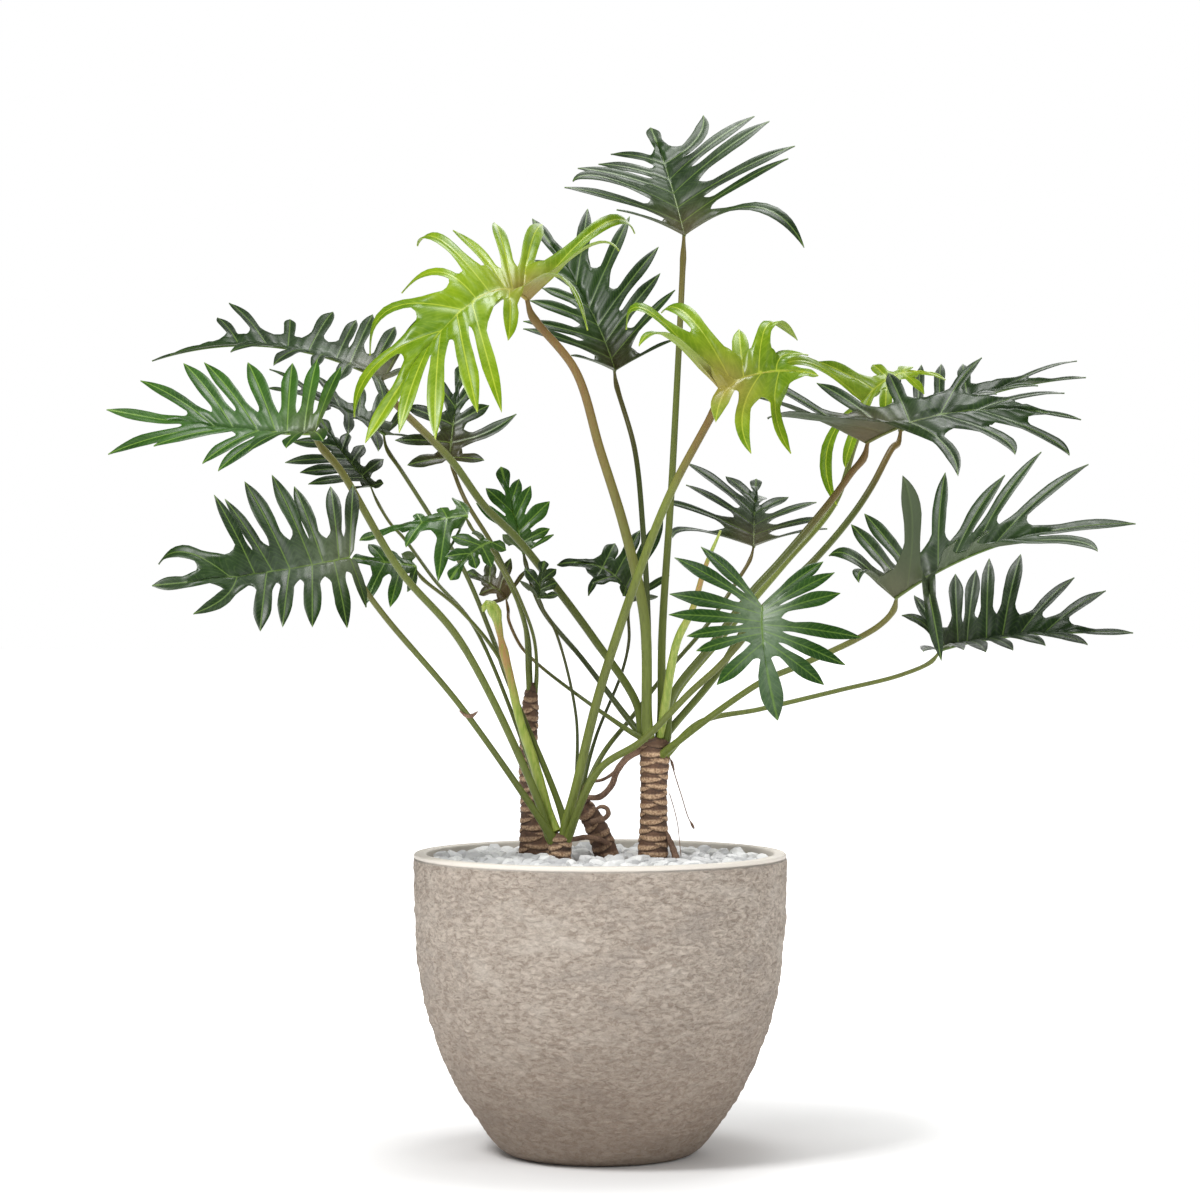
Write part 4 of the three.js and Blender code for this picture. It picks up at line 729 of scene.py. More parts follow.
def wave(share, seed):
    """A seeded slow wave along a lobe's edge or a stem, from three sines."""
    cycles = np.array([1.3, 2.9, 5.1])
    phase = np.modf(np.abs(np.sin(seed * np.array([12.9, 78.2, 37.7]))) * 43758.5)[0] * 2 * np.pi
    height = np.array([0.55, 0.3, 0.15])
    return (np.sin(share[:, None] * cycles * 2 * np.pi + phase) * height).sum(axis=1)


class Blade:
    """The middle surface of a blade while it is put together, with its values at each point."""

    def __init__(self):
        self.points = []
        self.values = {"vein": [], "run": [], "edge": [], "width": []}
        self.triangles = []
        self.count = 0

    def add(self, points, vein, run, edge, width):
        """Adds an array of points and returns their numbers in the same shape."""
        shape = points.shape[:-1]
        ids = self.count + np.arange(math.prod(shape)).reshape(shape)
        self.points.append(points.reshape(-1, 3))
        for key, value in zip(("vein", "run", "edge", "width"), (vein, run, edge, width)):
            self.values[key].append(np.broadcast_to(value, shape).ravel())
        self.count += math.prod(shape)
        return ids

    def zip_up(self, rib_ids, rib_shares, row_ids, row_shares, turned):
        """Fills the strip between the rib and the first row of points beside it: each step along
        either line makes a triangle with the point of the other that is level with it."""
        rib_steps = (rib_shares[1:] + rib_shares[:-1]) / 2
        row_steps = (row_shares[1:] + row_shares[:-1]) / 2
        level = row_ids[np.searchsorted(row_steps, rib_steps, side="left")]
        beside = rib_ids[np.searchsorted(rib_steps, row_steps, side="right")]
        on_rib = np.stack([rib_ids[:-1], rib_ids[1:], level], 1)
        on_row = np.stack([beside, row_ids[1:], row_ids[:-1]], 1)
        strip = np.vstack([on_rib, on_row])
        self.triangles.append(strip[:, ::-1] if turned else strip)


def lobe_surface(leaf, index, lobes, opposite, last, rib, seed):
    """The grid of one lobe, rows out along its vein and columns across it. Up to the sinus a column
    lies between the vein and the midline to its neighbour's vein. Beyond it the lobe is a strap of
    its own width, reached by a quick rounded turn, with slow waves along its edges."""
    rows, sinus = rows_of(leaf)
    vein, forward, share = lobes[index]["vein"], lobes[index]["forward"], lobes[index]["share"]
    first = index == 0
    before = opposite["vein"] if first else lobes[index - 1]["vein"]
    after = lobes[index + 1]["vein"] if index + 1 < len(lobes) else last
    centre = arc(vein, rows)
    out = without(forward, arc_way(vein, rows))
    room = LOBE_ROOM * np.minimum(apart(vein, before, rows), apart(vein, after, rows))
    strap_half = leaf["strap"] * MM * (1 + 0.1 * math.sin(seed * 7.1))
    half = np.minimum(strap_half, room) * strap_shape(rows)
    edges = []
    for way, neighbour in ((-1, before), (1, after)):
        wavy = half * (1 + 0.07 * wave(rows, seed + way) * smooth(sinus, 0.5, rows))
        strap = centre + out * (way * wavy)[:, None]
        if way < 0 and first:
            edges.append(strap)
            continue
        edges.append(parted(rows, sinus, strap, (centre + arc(neighbour, rows)) / 2))
    low, high = edges
    part = COLUMNS[None, :, None]
    grid = centre[:, None] + np.where(
        part < 0, (low - centre)[:, None] * -part, (high - centre)[:, None] * part
    )
    width = np.where(
        COLUMNS[None] < 0,
        np.linalg.norm(low - centre, axis=1)[:, None],
        np.linalg.norm(high - centre, axis=1)[:, None],
    )
    shares = [lobe["share"] for lobe in lobes] + [tail_of(leaf)]
    back = 0 if first else (shares[index - 1] - share) / 2
    ahead = (shares[index + 1] - share) / 2
    on_rib = share + np.where(COLUMNS < 0, COLUMNS * -back, COLUMNS * ahead)
    ends = np.where(COLUMNS < 0, arc(rib, share + back)[None].T, arc(rib, share + ahead)[None].T).T
    straight = arc(rib, share) + (ends - arc(rib, share)) * np.abs(COLUMNS)[:, None]
    fade = (np.clip(1 - rows / sinus, 0, 1) ** 2)[:, None, None]
    bow = (arc(rib, on_rib) - straight)[None] * fade
    if first:
        bow[:, COLUMNS < 0] = 0
    return grid + bow, width, on_rib


def add_side(blade, leaf, side, sides, last, rib, seed):
    """Adds the lobes of one side, where neighbours share their midline up to the sinus. Returns the
    last such midline, and the points beside the rib with their shares of it."""
    rows, _ = rows_of(leaf)
    inner = len(INNER_PARTS)
    lobes, opposite, turned = sides[side], sides[-side][0], side < 0
    shared, row_ids, row_shares = None, [], []
    for index, lobe in enumerate(lobes):
        own_seed = seed + 3 * index + (40 if turned else 0)
        surface, width, on_rib = lobe_surface(leaf, index, lobes, opposite, last, rib, own_seed)
        root, _, end = lobe["vein"]
        run = np.linalg.norm(end - root) * rows[:, None]
        ids = np.zeros((len(rows), len(COLUMNS)), int)
        own = np.ones(ids.shape, bool)
        if shared is not None:
            own[:inner, 0] = False
            ids[:inner, 0] = shared
        across = np.abs(COLUMNS)[None]
        grids = (across * width, run, across, width)
        values = [np.broadcast_to(grid, ids.shape)[own] for grid in grids]
        ids[own] = blade.add(surface[own], *values)
        tip = blade.add(end[None], 0, run[-1, 0], 0, 0.001)[0]
        blade.triangles += [grid_triangles(ids, turned), fan(ids[-1], tip, turned)]
        shared = ids[:inner, -1]
        keep = slice(0 if index == 0 else 1, None)
        row_ids.append(ids[0, keep])
        row_shares.append(on_rib[keep])
    return shared, np.concatenate(row_ids), np.concatenate(row_shares)


def add_end_half(blade, leaf, side, neighbour, last, rib, end_ids, end_run, shared):
    """Adds one half of the lobe at the apex, from its outer edge in to the rib, and returns its
    first row of points after the outermost one."""
    rows, sinus = rows_of(leaf)
    tail = tail_of(leaf)
    inner, half_columns = len(INNER_PARTS), len(COLUMNS) // 2
    _, _, left = blade_frame(leaf, rib, tail + (1 - tail) * rows)
    centre = arc(last, rows)
    room = LOBE_ROOM * apart(last, neighbour, rows)
    half = np.minimum(leaf.get("tip", leaf["strap"]) * MM, room) * strap_shape(rows)
    strap = centre + left * (half * side)[:, None]
    outer = parted(rows, sinus, strap, (centre + arc(neighbour, rows)) / 2)
    part = -COLUMNS[:half_columns]
    surface = centre[:, None] + (outer - centre)[:, None] * part[None, :, None]
    width = np.linalg.norm(outer - centre, axis=1)[:, None]
    ids = np.zeros((len(rows), half_columns + 1), int)
    own = np.ones((len(rows), half_columns), bool)
    own[:inner, 0] = False
    ids[:inner, 0] = shared
    ids[:, half_columns] = end_ids[:-1]
    grids = (part * width, end_run[:-1, None], part[None], width)
    values = [np.broadcast_to(grid, own.shape)[own] for grid in grids]
    ids[:, :half_columns][own] = blade.add(surface[own], *values)
    blade.triangles += [grid_triangles(ids, side < 0), fan(ids[-1], end_ids[-1], side < 0)]
    return ids[0, 1:]


def blade_sheet(leaf, seed):
    """The whole blade as one sheet: both sides' lobes, joined by a web up to the sinuses, the rib
    between them, and the lobe at its end, whose vein is the end of the rib."""
    rib = rib_of(leaf)
    rows, _ = rows_of(leaf)
    tail = tail_of(leaf)
    blade = Blade()
    steps = np.diff(arc(rib, np.linspace(0, 1, 40)), axis=0)
    rib_length = np.linalg.norm(steps, axis=1).sum()
    low_shares = np.linspace(0, tail, RIB_POINTS)
    sides = {side: lobes_of(leaf, rib, side) for side in (1, -1)}
    roots = np.array([lobe["share"] for lobes in sides.values() for lobe in lobes] + [tail])
    nearest = np.abs(low_shares[:, None] - roots).min(axis=1) * rib_length
    low_ids = blade.add(arc(rib, low_shares), nearest, 0, 0, 0.005)
    end_shares = tail + (1 - tail) * np.append(rows, 1)
    end_run = (end_shares - tail) * rib_length
    end_ids = blade.add(arc(rib, end_shares), 0, end_run, 0, 0.008)
    start, apex = arc(rib, tail), rib[2]
    last = (start, 2 * arc(rib, (1 + tail) / 2) - (start + apex) / 2, apex)
    for side, lobes in sides.items():
        shared, row_ids, row_shares = add_side(blade, leaf, side, sides, last, rib, seed)
        neighbour = lobes[-1]["vein"]
        first_row = add_end_half(blade, leaf, side, neighbour, last, rib, end_ids, end_run, shared)
        middle = (lobes[-1]["share"] + tail) / 2
        part = -COLUMNS[: len(COLUMNS) // 2]
        row_ids = np.append(row_ids, first_row)
        row_shares = np.append(row_shares, tail + (middle - tail) * np.append(part[1:], 0))
        blade.zip_up(low_ids, low_shares, row_ids, row_shares, side < 0)
    points = np.vstack(blade.points)
    values = {key: np.concatenate(value) for key, value in blade.values.items()}
    return points, np.vstack(blade.triangles), values, rib


def blade_solid(leaf, seed):
    """The sheet with a groove along each vein, rounded halves beside it and a soft ripple, made
    solid and thicker along the veins, with the rib as a tapering round keel."""
    points, triangles, values, rib = blade_sheet(leaf, seed)
    edge, width = values.pop("edge"), values.pop("width")
    swell = 0.2 * width * np.sin(np.pi * np.clip(edge, 0, 1) * 0.72)
    ripple = 0.035 * width * edge * np.sin(values["run"] / RIPPLE + seed)
    points = points + normals_of(points, triangles) * (swell + ripple)[:, None]
    thickness = SHEET + VEIN_RISE * np.clip(1 - values["vein"] / VEIN_REACH, 0, 1)
    samples = np.linspace(0, 1, 60)
    spine = arc(rib, samples)
    off = np.linalg.norm(points[:, None] - spine[None], axis=2).min(axis=1)
    solid, faces = thickened(points, triangles, thickness)
    under = np.repeat([0.0, 1.0], len(points))
    hub = np.linalg.norm(solid - rib[0], axis=1)
    tinge = BLUSH.get(leaf["name"], 0.1) * (1 if leaf["tone"] == "lime" else 0.45)
    blush = tinge * np.exp(-((hub / 0.04) ** 2))
    off = np.tile(off, 2)
    # Painted sheen: a silver reflection painted on the web, strongest near the rib and the hub
    near = np.exp(-((off / SHEEN_FROM_RIB) ** 2) - (hub / SHEEN_FROM_HUB) ** 2)
    gleam = PAINTED_SHEEN.get(leaf["name"], 0.05) * near
    doubled = {key: np.tile(value, 2) for key, value in values.items()}
    shade = SHADE.get(leaf["name"], 0.0)
    doubled.update(off=off, under=under, blush=blush, gleam=gleam, shade=np.full(len(solid), shade))
    shares = np.linspace(0, 0.97, 34)
    _, normal, _ = blade_frame(leaf, rib, shares)
    radii = (2.3 - 1.7 * shares**0.8) * MM
    line = arc(rib, shares) - normal * (radii * 0.35)[:, None]
    keel, keel_faces = tube(line, radii, 8)
    far = np.linalg.norm(keel - rib[0], axis=1)
    # The keel: the blush near the hub, and a faint painted sheen that stands for a reflection
    keel_values = {
        "blush": tinge * np.exp(-((far / 0.08) ** 2)),
        "gleam": np.full(len(keel), 0.1),
        "shade": np.full(len(keel), shade),
    }
    return joined((solid, faces, doubled), (keel, keel_faces, keel_values))


# Stalks
def seat_of(leaf):
    """Where a stalk leaves its crown and in which direction, a few millimetres inside the trunk."""
    *top, radius = TRUNKS[leaf["crown"]][-1]
    degrees, ring = leaf["seat"]
    angle = math.radians(degrees)
    out = np.array([math.cos(angle), math.sin(angle), 0])
    lean = math.radians(LEANS[ring])
    direction = out * math.sin(lean) + np.array([0, 0, math.cos(lean)])
    place = np.array(top) * MM
    if ring == 0:
        place = place + out * (radius - leaf["base"] - 1) * MM
        low = 0.8 * DOMES.get(leaf["crown"], 8) * MM
        return place - out * 2 * MM - np.array([0, 0, low]), place, direction, ring
    inside = place + out * radius * 0.62 * MM - np.array([0, 0, (ring * 14 - 4) * MM])
    return inside, inside, direction, ring


def stalk_line(leaf, rib):
    """The stalk's smooth line from inside its crown through the places read on it to the hub, with
    a short bend under the blade."""
    foot, place, direction, ring = seat_of(leaf)
    if ring == 0:
        place = place + np.array([0, 0, leaf["base"] * MM])
    hub = rib[0]
    lift = place + direction * 7 * MM
    reads = []
    for spot in leaf["stalk"]:
        share = min(max((spot[1] * MM - lift[2]) / (hub[2] - lift[2]), 0), 1)
        depth = spot[2] if len(spot) > 2 else (lift[1] + (hub[1] - lift[1]) * share) / MM
        reads.append(front(spot[0], spot[1], depth))
    _, normal, _ = blade_frame(leaf, rib, 0.15)
    arrival = unit(hub - reads[-1])
    neck = hub - normal * 0.6 * NECK - arrival * 0.8 * NECK
    end = hub + arc_way(rib, 0) * 3 * MM - normal * 0.8 * MM
    return flowing(np.array([foot, lift, *reads, neck, end]), STALK_RINGS)[0]


def stalk_solid(leaf):
    """A round stalk that widens downwards into a flat sheath clasping the trunk."""
    rib = rib_of(leaf)
    line = stalk_line(leaf, rib)
    share = np.linspace(0, 1, len(line))
    base = leaf["base"] * MM
    slim, top = np.array(leaf["girth"]) * MM
    sheath = np.clip(1 - share / 0.35, 0, 1) ** 1.5
    radii = slim + (top - slim) * share + (base - slim) * sheath
    radii = radii * (1 - 0.45 * smooth(0.95, 1, share))
    knee = 0.15 * top * np.exp(-(((share - 0.955) / 0.018) ** 2))
    clasp = 1 + 0.25 * np.clip(1 - share / 0.08, 0, 1)
    points, triangles = tube(line, radii + knee, STALK_SIDES, clasp)
    length = np.linalg.norm(np.diff(line, axis=0), axis=1).sum()
    left = (1 - share) * length
    reach = 0.45 if leaf["name"] == "lime_left" else 0.17
    blush = BLUSH.get(leaf["name"], 0.1) * (1 - smooth(0.03, reach, left)) * (1 - 0.3 * share)
    # The stalk's values, with its painted light: paler where lit and darker where shaded
    values = {
        "blush": along_tube(blush, STALK_SIDES),
        "sheath": along_tube(sheath, STALK_SIDES),
        "painted_light": np.full(len(points), PAINTED_LIGHT.get(leaf["name"], 0)),
    }
    return points, triangles, values


def stem_solid(rows, sides, count, lumps, seed):
    """A root, shoot or fibre: a tube through its listed places with the radius of each, and lumps
    that swell and pinch it a little."""
    places = np.array([front(*row[:3]) for row in rows])
    line, index = flowing(places, count)
    radii = np.interp(index, np.arange(len(rows)), [row[3] * MM for row in rows])
    radii = radii * (1 + lumps * wave(np.linspace(0, 4, count), seed))
    return *tube(line, radii, sides), {"run": along_tube(np.linspace(0, 1, count), sides)}


# Trunks
def trunk_solid(name):
    """A trunk ringed with the scars of fallen leaves. Scar k is a lens at its own height and angle,
    3 mm higher at its corners, raised over the bark, with a fine step at its foot."""
    pitch, pale, seed = SCARS[name]
    rows = np.array(TRUNKS[name], float)
    height = rows[-1, 2] - rows[0, 2]
    count = int(height / 1.15)
    line, index = flowing(rows[:, :3] * MM, count)
    radii = np.interp(index, np.arange(len(rows)), rows[:, 3] * MM)
    angle = np.arange(TRUNK_SIDES) / TRUNK_SIDES * 2 * np.pi
    up = line[:, 2]
    scars = np.arange(int(height / pitch) + 2)
    middle = (rows[0, 2] + scars * pitch) * MM
    turn = scars * SCAR_TURN + seed
    around = (angle[None] - turn[:, None] + np.pi) % (2 * np.pi) - np.pi
    reach = np.abs(around) / SCAR_REACH
    lens = np.sqrt(np.clip(1 - reach**2, 0, 1))
    centre = middle[:, None] + 3 * MM * reach**2
    off = (up[None, :, None] - centre[:, None]) / (SCAR_HEIGHT * np.maximum(lens, 0.02)[:, None])
    inside = np.clip(1 - np.abs(off) ** 3, 0, 1) * (lens[:, None] > 0.05)
    scar = inside.max(axis=0)
    lip = np.where(off < 0, np.exp(-(((off + 1.05) / 0.22) ** 2)), 0) * (lens[:, None] > 0.1)
    step = lip.max(axis=0)
    rough = 0.25 * MM * np.sin(up[:, None] * 2900 + 3 * np.sin(angle * 5 + seed)[None])
    ring = radii[:, None] + SCAR_RISE * scar - SCAR_STEP * step + rough * (1 - scar)
    left = (up[-1] - up) / (DOMES.get(name, 6) * MM)
    ring = ring * np.sqrt(np.clip(1 - np.clip(1 - left, 0, 0.93) ** 2, 0, 1))[:, None]
    high = np.broadcast_to((up[:, None] - up[0]) / (up[-1] - up[0]), ring.shape)
    grids = {"scar": scar * pale, "step": step, "high": high}
    values = {key: np.append(grid.ravel(), [0, 0]) for key, grid in grids.items()}
    return *tube(line, ring, TRUNK_SIDES), values


# Pot
def pot_radius(z):
    """The outer radius at a height: R (1 - taper (1 - z/H)^3)."""
    return POT_RADIUS * (1 - POT_TAPER * (1 - z / POT_HEIGHT) ** 3)


def rock(points, size, seed, waves=26):
    """Seeded smooth noise: the mean of many cosine waves of about one length, in directions spread
    over the sphere, each with its own phase."""
    source = np.random.default_rng(seed)
    ways = unit(source.normal(size=(waves, 3))) * source.uniform(0.7, 1.5, (waves, 1))
    phase = source.uniform(0, 2 * np.pi, waves)
    return np.cos(points @ ways.T * (2 * np.pi / size) + phase).sum(axis=-1) / math.sqrt(waves)


def pot_solid():
    """The pot turned from its profile: foot, outer wall, rounded rim, inner wall and floor. The
    outer wall carries the low relief of broken rock, in three sizes, which fades out at rim and
    foot."""
    wall = np.linspace(0.008, POT_HEIGHT - 5 * MM, 118)
    rise = np.linspace(0, np.pi / 2, 6)
    inner = POT_RADIUS - POT_WALL
    inside = np.linspace(POT_HEIGHT - 6 * MM, POT_FLOOR + 0.02, 20)
    rim = POT_HEIGHT - POT_ROUNDING
    profile = np.vstack([
        [[0.0, 0.0], [pot_radius(0) - 12 * MM, 0.0], [pot_radius(0) - 6 * MM, 0.0]],
        [[pot_radius(0) - 2 * MM, 1.4 * MM], [pot_radius(0) + 1.6 * MM, 4 * MM]],
        np.stack([pot_radius(wall), wall], 1),
        np.stack([
            POT_RADIUS - POT_ROUNDING * (1 - np.cos(rise)),
            rim + POT_ROUNDING * np.sin(rise),
        ], 1),
        np.stack([
            inner + POT_ROUNDING * (1 - np.sin(rise)),
            rim + POT_ROUNDING * np.cos(rise),
        ], 1),
        np.stack([pot_radius(inside) - POT_WALL, inside], 1),
        [[pot_radius(POT_FLOOR) - POT_WALL - 8 * MM, POT_FLOOR], [0.0, POT_FLOOR]],
    ])
    radius, height = profile[1:-1, 0], profile[1:-1, 1]
    angle = np.arange(POT_SEGMENTS) / POT_SEGMENTS * 2 * np.pi
    around = np.stack([np.cos(angle), np.sin(angle)], 1)
    flat = radius[:, None, None] * around[None]
    level = np.broadcast_to(height[:, None, None], (len(height), POT_SEGMENTS, 1))
    rings = np.concatenate([flat, level], axis=2)
    outer = np.zeros(len(height))
    outer[4 : 4 + len(wall)] = 1
    below_rim = 1 - smooth(POT_HEIGHT - 10 * MM, POT_HEIGHT - 4 * MM, height)
    fade = outer * smooth(0.004, 0.03, height) * below_rim
    relief = 0.8 * rock(rings, 0.075, 1) + 0.6 * rock(rings, 0.026, 2) + 0.7 * rock(rings, 0.013, 3)
    push = (relief * fade[:, None] - 0.3 * fade[:, None]) * MM
    rings = rings + np.concatenate([around[None] * push[..., None], np.zeros_like(level)], axis=2)
    smooth_part = 1 - outer * (1 - smooth(POT_HEIGHT - 7 * MM, POT_HEIGHT - 4 * MM, height))
    smooth_part[:4] = 0
    values = {"rim": np.append(np.repeat(smooth_part, POT_SEGMENTS), [0, 1])}
    return *closed_rings(rings, [0, 0, 0], [0, 0, POT_FLOOR]), values


# Gravel
def ball():
    """A ball of 42 points and 80 faces: an icosahedron with each edge's middle pushed out."""
    golden = (1 + math.sqrt(5)) / 2
    signs = np.array([[0, a, b * golden] for a in (-1, 1) for b in (-1, 1)])
    corners = unit(np.vstack([signs, signs[:, [2, 0, 1]], signs[:, [1, 2, 0]]]))
    gaps = np.linalg.norm(corners[:, None] - corners[None], axis=2)
    edge = gaps[gaps > 0.1].min() * 1.01
    near = (gaps < edge) & (gaps > 0.1)
    a, b, c = np.meshgrid(range(12), range(12), range(12), indexing="ij")
    found = (a < b) & (b < c) & near[a, b] & near[b, c] & near[a, c]
    faces = np.stack([a[found], b[found], c[found]], 1)
    first, second, third = corners[faces[:, 0]], corners[faces[:, 1]], corners[faces[:, 2]]
    out = np.einsum("ij,ij->i", np.cross(second - first, third - first), first)
    faces[out < 0] = faces[out < 0][:, ::-1]
    pairs = np.sort(np.vstack([faces[:, [0, 1]], faces[:, [1, 2]], faces[:, [2, 0]]]), axis=1)
    edges, which = np.unique(pairs, axis=0, return_inverse=True)
    middles = unit(corners[edges[:, 0]] + corners[edges[:, 1]])
    ab, bc, ca = (which.ravel().reshape(3, -1) + 12)
    fine = np.vstack([
        np.stack([faces[:, 0], ab, ca], 1), np.stack([faces[:, 1], bc, ab], 1),
        np.stack([faces[:, 2], ca, bc], 1), np.stack([ab, bc, ca], 1),
    ])
    return np.vstack([corners, middles]), fine


def turns(angles, first, second):
    """A matrix for each angle that turns the second axis towards the first."""
    made = np.tile(np.eye(3), (len(angles), 1, 1))
    made[:, first, first] = made[:, second, second] = np.cos(angles)
    made[:, first, second] = np.sin(angles)
    made[:, second, first] = -np.sin(angles)
    return made


def gravel_solid():
    """Marble chips in two layers. A chip is a ball cut by seeded planes: along each direction its
    radius is the least of plane distance over cosine. It is then stretched, turned and laid down."""
    source = np.random.default_rng(7)
    radius = POT_RADIUS - POT_WALL - 3 * MM
    steps = np.arange(-12, 13)
    column, row = np.meshgrid(steps, steps)
    x = (column + 0.5 * (row % 2)) * CHIP_PITCH
    y = row * CHIP_PITCH * math.sqrt(0.75)
    spots = np.stack([x.ravel(), y.ravel()], 1)
    layers = []
    for level, shift, keep in CHIP_LAYERS:
        places = spots + shift * CHIP_PITCH + source.uniform(-4, 4, spots.shape) * MM
        chosen = source.random(len(places)) < keep
        high = (level + source.uniform(-1.5, 2.0, len(places))) * MM
        layers.append(np.column_stack([places, high])[chosen])
    centres = np.vstack(layers)
    far = np.linalg.norm(centres[:, :2], axis=1)
    size = source.uniform(10, 14.5, len(centres)) * MM
    clear = far < radius - size * 0.8
    for rows in TRUNKS.values():
        axis, girth = np.array(rows[1][:2]) * MM, rows[1][3] * MM
        clear &= np.linalg.norm(centres[:, :2] - axis, axis=1) > girth + 8 * MM
    centres, size = centres[clear], size[clear]
    shape, faces = ball()
    count = len(centres)
    planes = unit(source.normal(size=(count, CHIP_CUTS, 3)))
    away = source.uniform(0.58, 0.9, (count, CHIP_CUTS, 1))
    facing = planes @ shape.T
    reach = np.where(facing > 0.05, away / np.maximum(facing, 0.05), 9).min(axis=1)
    reach = np.minimum(reach, 1.12)
    wide, thick = source.uniform(0.66, 0.92, count), source.uniform(0.58, 0.85, count)
    stretch = np.column_stack([np.ones(count), wide, thick])
    chips = shape[None] * reach[..., None] * (stretch * size[:, None])[:, None]
    spin = turns(source.uniform(0, 2 * np.pi, count), 1, 0)
    lean = turns(source.normal(0, 0.28, count), 0, 2)
    chips = np.einsum("nij,njk,npk->npi", spin, lean, chips) + centres[:, None]
    edge = np.linalg.norm(chips[..., :2], axis=2).max(axis=1)
    pull = np.minimum(1, (radius + 2 * MM) / edge)
    chips[..., :2] *= pull[:, None, None]
    chips[..., 2] = np.minimum(chips[..., 2], POT_HEIGHT - 0.4 * MM)
    numbers = faces[None] + (np.arange(count) * len(shape))[:, None, None]
    tone = np.repeat(source.random(count), len(shape))
    return chips.reshape(-1, 3), numbers.reshape(-1, 3), {"tone": tone}


# Materials
def feed(tree, socket, value):
    """Links another node's output to a socket, or sets the socket to a plain value."""
    if isinstance(value, bpy.types.NodeSocket):
        tree.links.new(value, socket)
    else:
        socket.default_value = value


def node(tree, kind, inputs=None, **settings):
    """A shader node with its settings and inputs. An input is a value or another node's output."""
    made = tree.nodes.new(kind)
    for key, value in settings.items():
        setattr(made, key, value)
    for key, value in (inputs or {}).items():
        feed(tree, made.inputs[key], value)
    return made


def maths(tree, operation, first, second=0.0, clamp=False):
    """The result of a sum, product or other step on one or two values."""
    made = node(tree, "ShaderNodeMath", {0: first, 1: second}, operation=operation, use_clamp=clamp)
    return made.outputs[0]


def times(tree, first, second, clamp=False):
    """The product of two values."""
    return maths(tree, "MULTIPLY", first, second, clamp)


def between(tree, value, low, high, start=0.0, end=1.0):
    """A value carried smoothly from the range low to high onto start to end."""
    made = node(tree, "ShaderNodeMapRange", {"Value": value, "From Min": low, "From Max": high,
                                             "To Min": start, "To Max": end})
    made.interpolation_type = "SMOOTHSTEP"
    return made.outputs["Result"]


def blend(tree, share, first, second):
    """Two colours mixed by a share."""
    made = node(tree, "ShaderNodeMix", {0: share}, data_type="RGBA")
    for key, value in ((6, first), (7, second)):
        feed(tree, made.inputs[key], (*value, 1) if isinstance(value, tuple) else value)
    return made.outputs[2]


def value_of(tree, name):
    """A value that the piece carries at its points."""
    return node(tree, "ShaderNodeAttribute", attribute_name=name).outputs["Fac"]


def place_of(tree):
    """The place on the object."""
    return node(tree, "ShaderNodeTexCoord").outputs["Object"]


def drawn_out(tree, share):
    """The place on the object with its height shrunk to a share, so that a pattern runs upright."""
    return node(tree, "ShaderNodeMapping", {
        "Vector": place_of(tree), "Scale": (1, 1, share),
    }).outputs[0]


def noise(tree, scale, detail=3.0, roughness=0.55, where=None, distortion=0.0):
    """A soft random value over the object."""
    made = node(tree, "ShaderNodeTexNoise", {
        "Vector": where if where is not None else place_of(tree), "Scale": scale, "Detail": detail,
        "Roughness": roughness, "Distortion": distortion,
    })
    return made.outputs["Fac"]


def group(name, sockets, results):
    """An empty shader group with float inputs (name, default, least, most) and float outputs."""
    made = bpy.data.node_groups.new(name, "ShaderNodeTree")
    for label, default, least, most in sockets:
        socket = made.interface.new_socket(label, in_out="INPUT", socket_type="NodeSocketFloat")
        socket.default_value = default
        socket.min_value = least
        socket.max_value = most
    for label in results:
        made.interface.new_socket(label, in_out="OUTPUT", socket_type="NodeSocketFloat")
    enter = made.nodes.new("NodeGroupInput")
    leave = made.nodes.new("NodeGroupOutput")
    return made, enter, leave


def placed(tree, made, inputs):
    """Places a group in a material with its own values."""
    return node(tree, "ShaderNodeGroup", inputs, node_tree=made)


def finish(material, colour, roughness, height, strength, distance, **values):
    """Gives a material's Principled shader its colour, roughness, relief and any plain values."""
    tree = material.node_tree
    shader = tree.nodes["Principled BSDF"]
    feed(tree, shader.inputs["Base Color"], colour)
    feed(tree, shader.inputs["Roughness"], roughness)
    for key, value in values.items():
        feed(tree, shader.inputs[key.replace("_", " ")], value)
    relief = {"Strength": strength, "Distance": distance, "Height": height}
    feed(tree, shader.inputs["Normal"], node(tree, "ShaderNodeBump", relief).outputs[0])
    return material


def new_material(name):
    """A new material with a plain Principled shader, and its node tree."""
    material = bpy.data.materials.new(name)
    material.use_nodes = True
    return material, material.node_tree


def make_mottle():
    """Uneven growth or weather: a broad noise and a fine one on the object, weighed together."""
    sockets = [
        ("Broad Scale", 14, 0, 500), ("Fine Scale", 120, 0, 2000), ("Fine Share", 0.35, 0, 1),
    ]
    made, enter, leave = group("mottle", sockets, ["Value", "Fine"])
    broad = noise(made, enter.outputs["Broad Scale"], 3)
    fine = noise(made, enter.outputs["Fine Scale"], 3, 0.6)
    both = node(made, "ShaderNodeMix", {0: enter.outputs["Fine Share"], 2: broad, 3: fine})
    made.links.new(between(made, both.outputs[0], 0.3, 0.7), leave.inputs["Value"])
    made.links.new(fine, leave.inputs["Fine"])
    return made


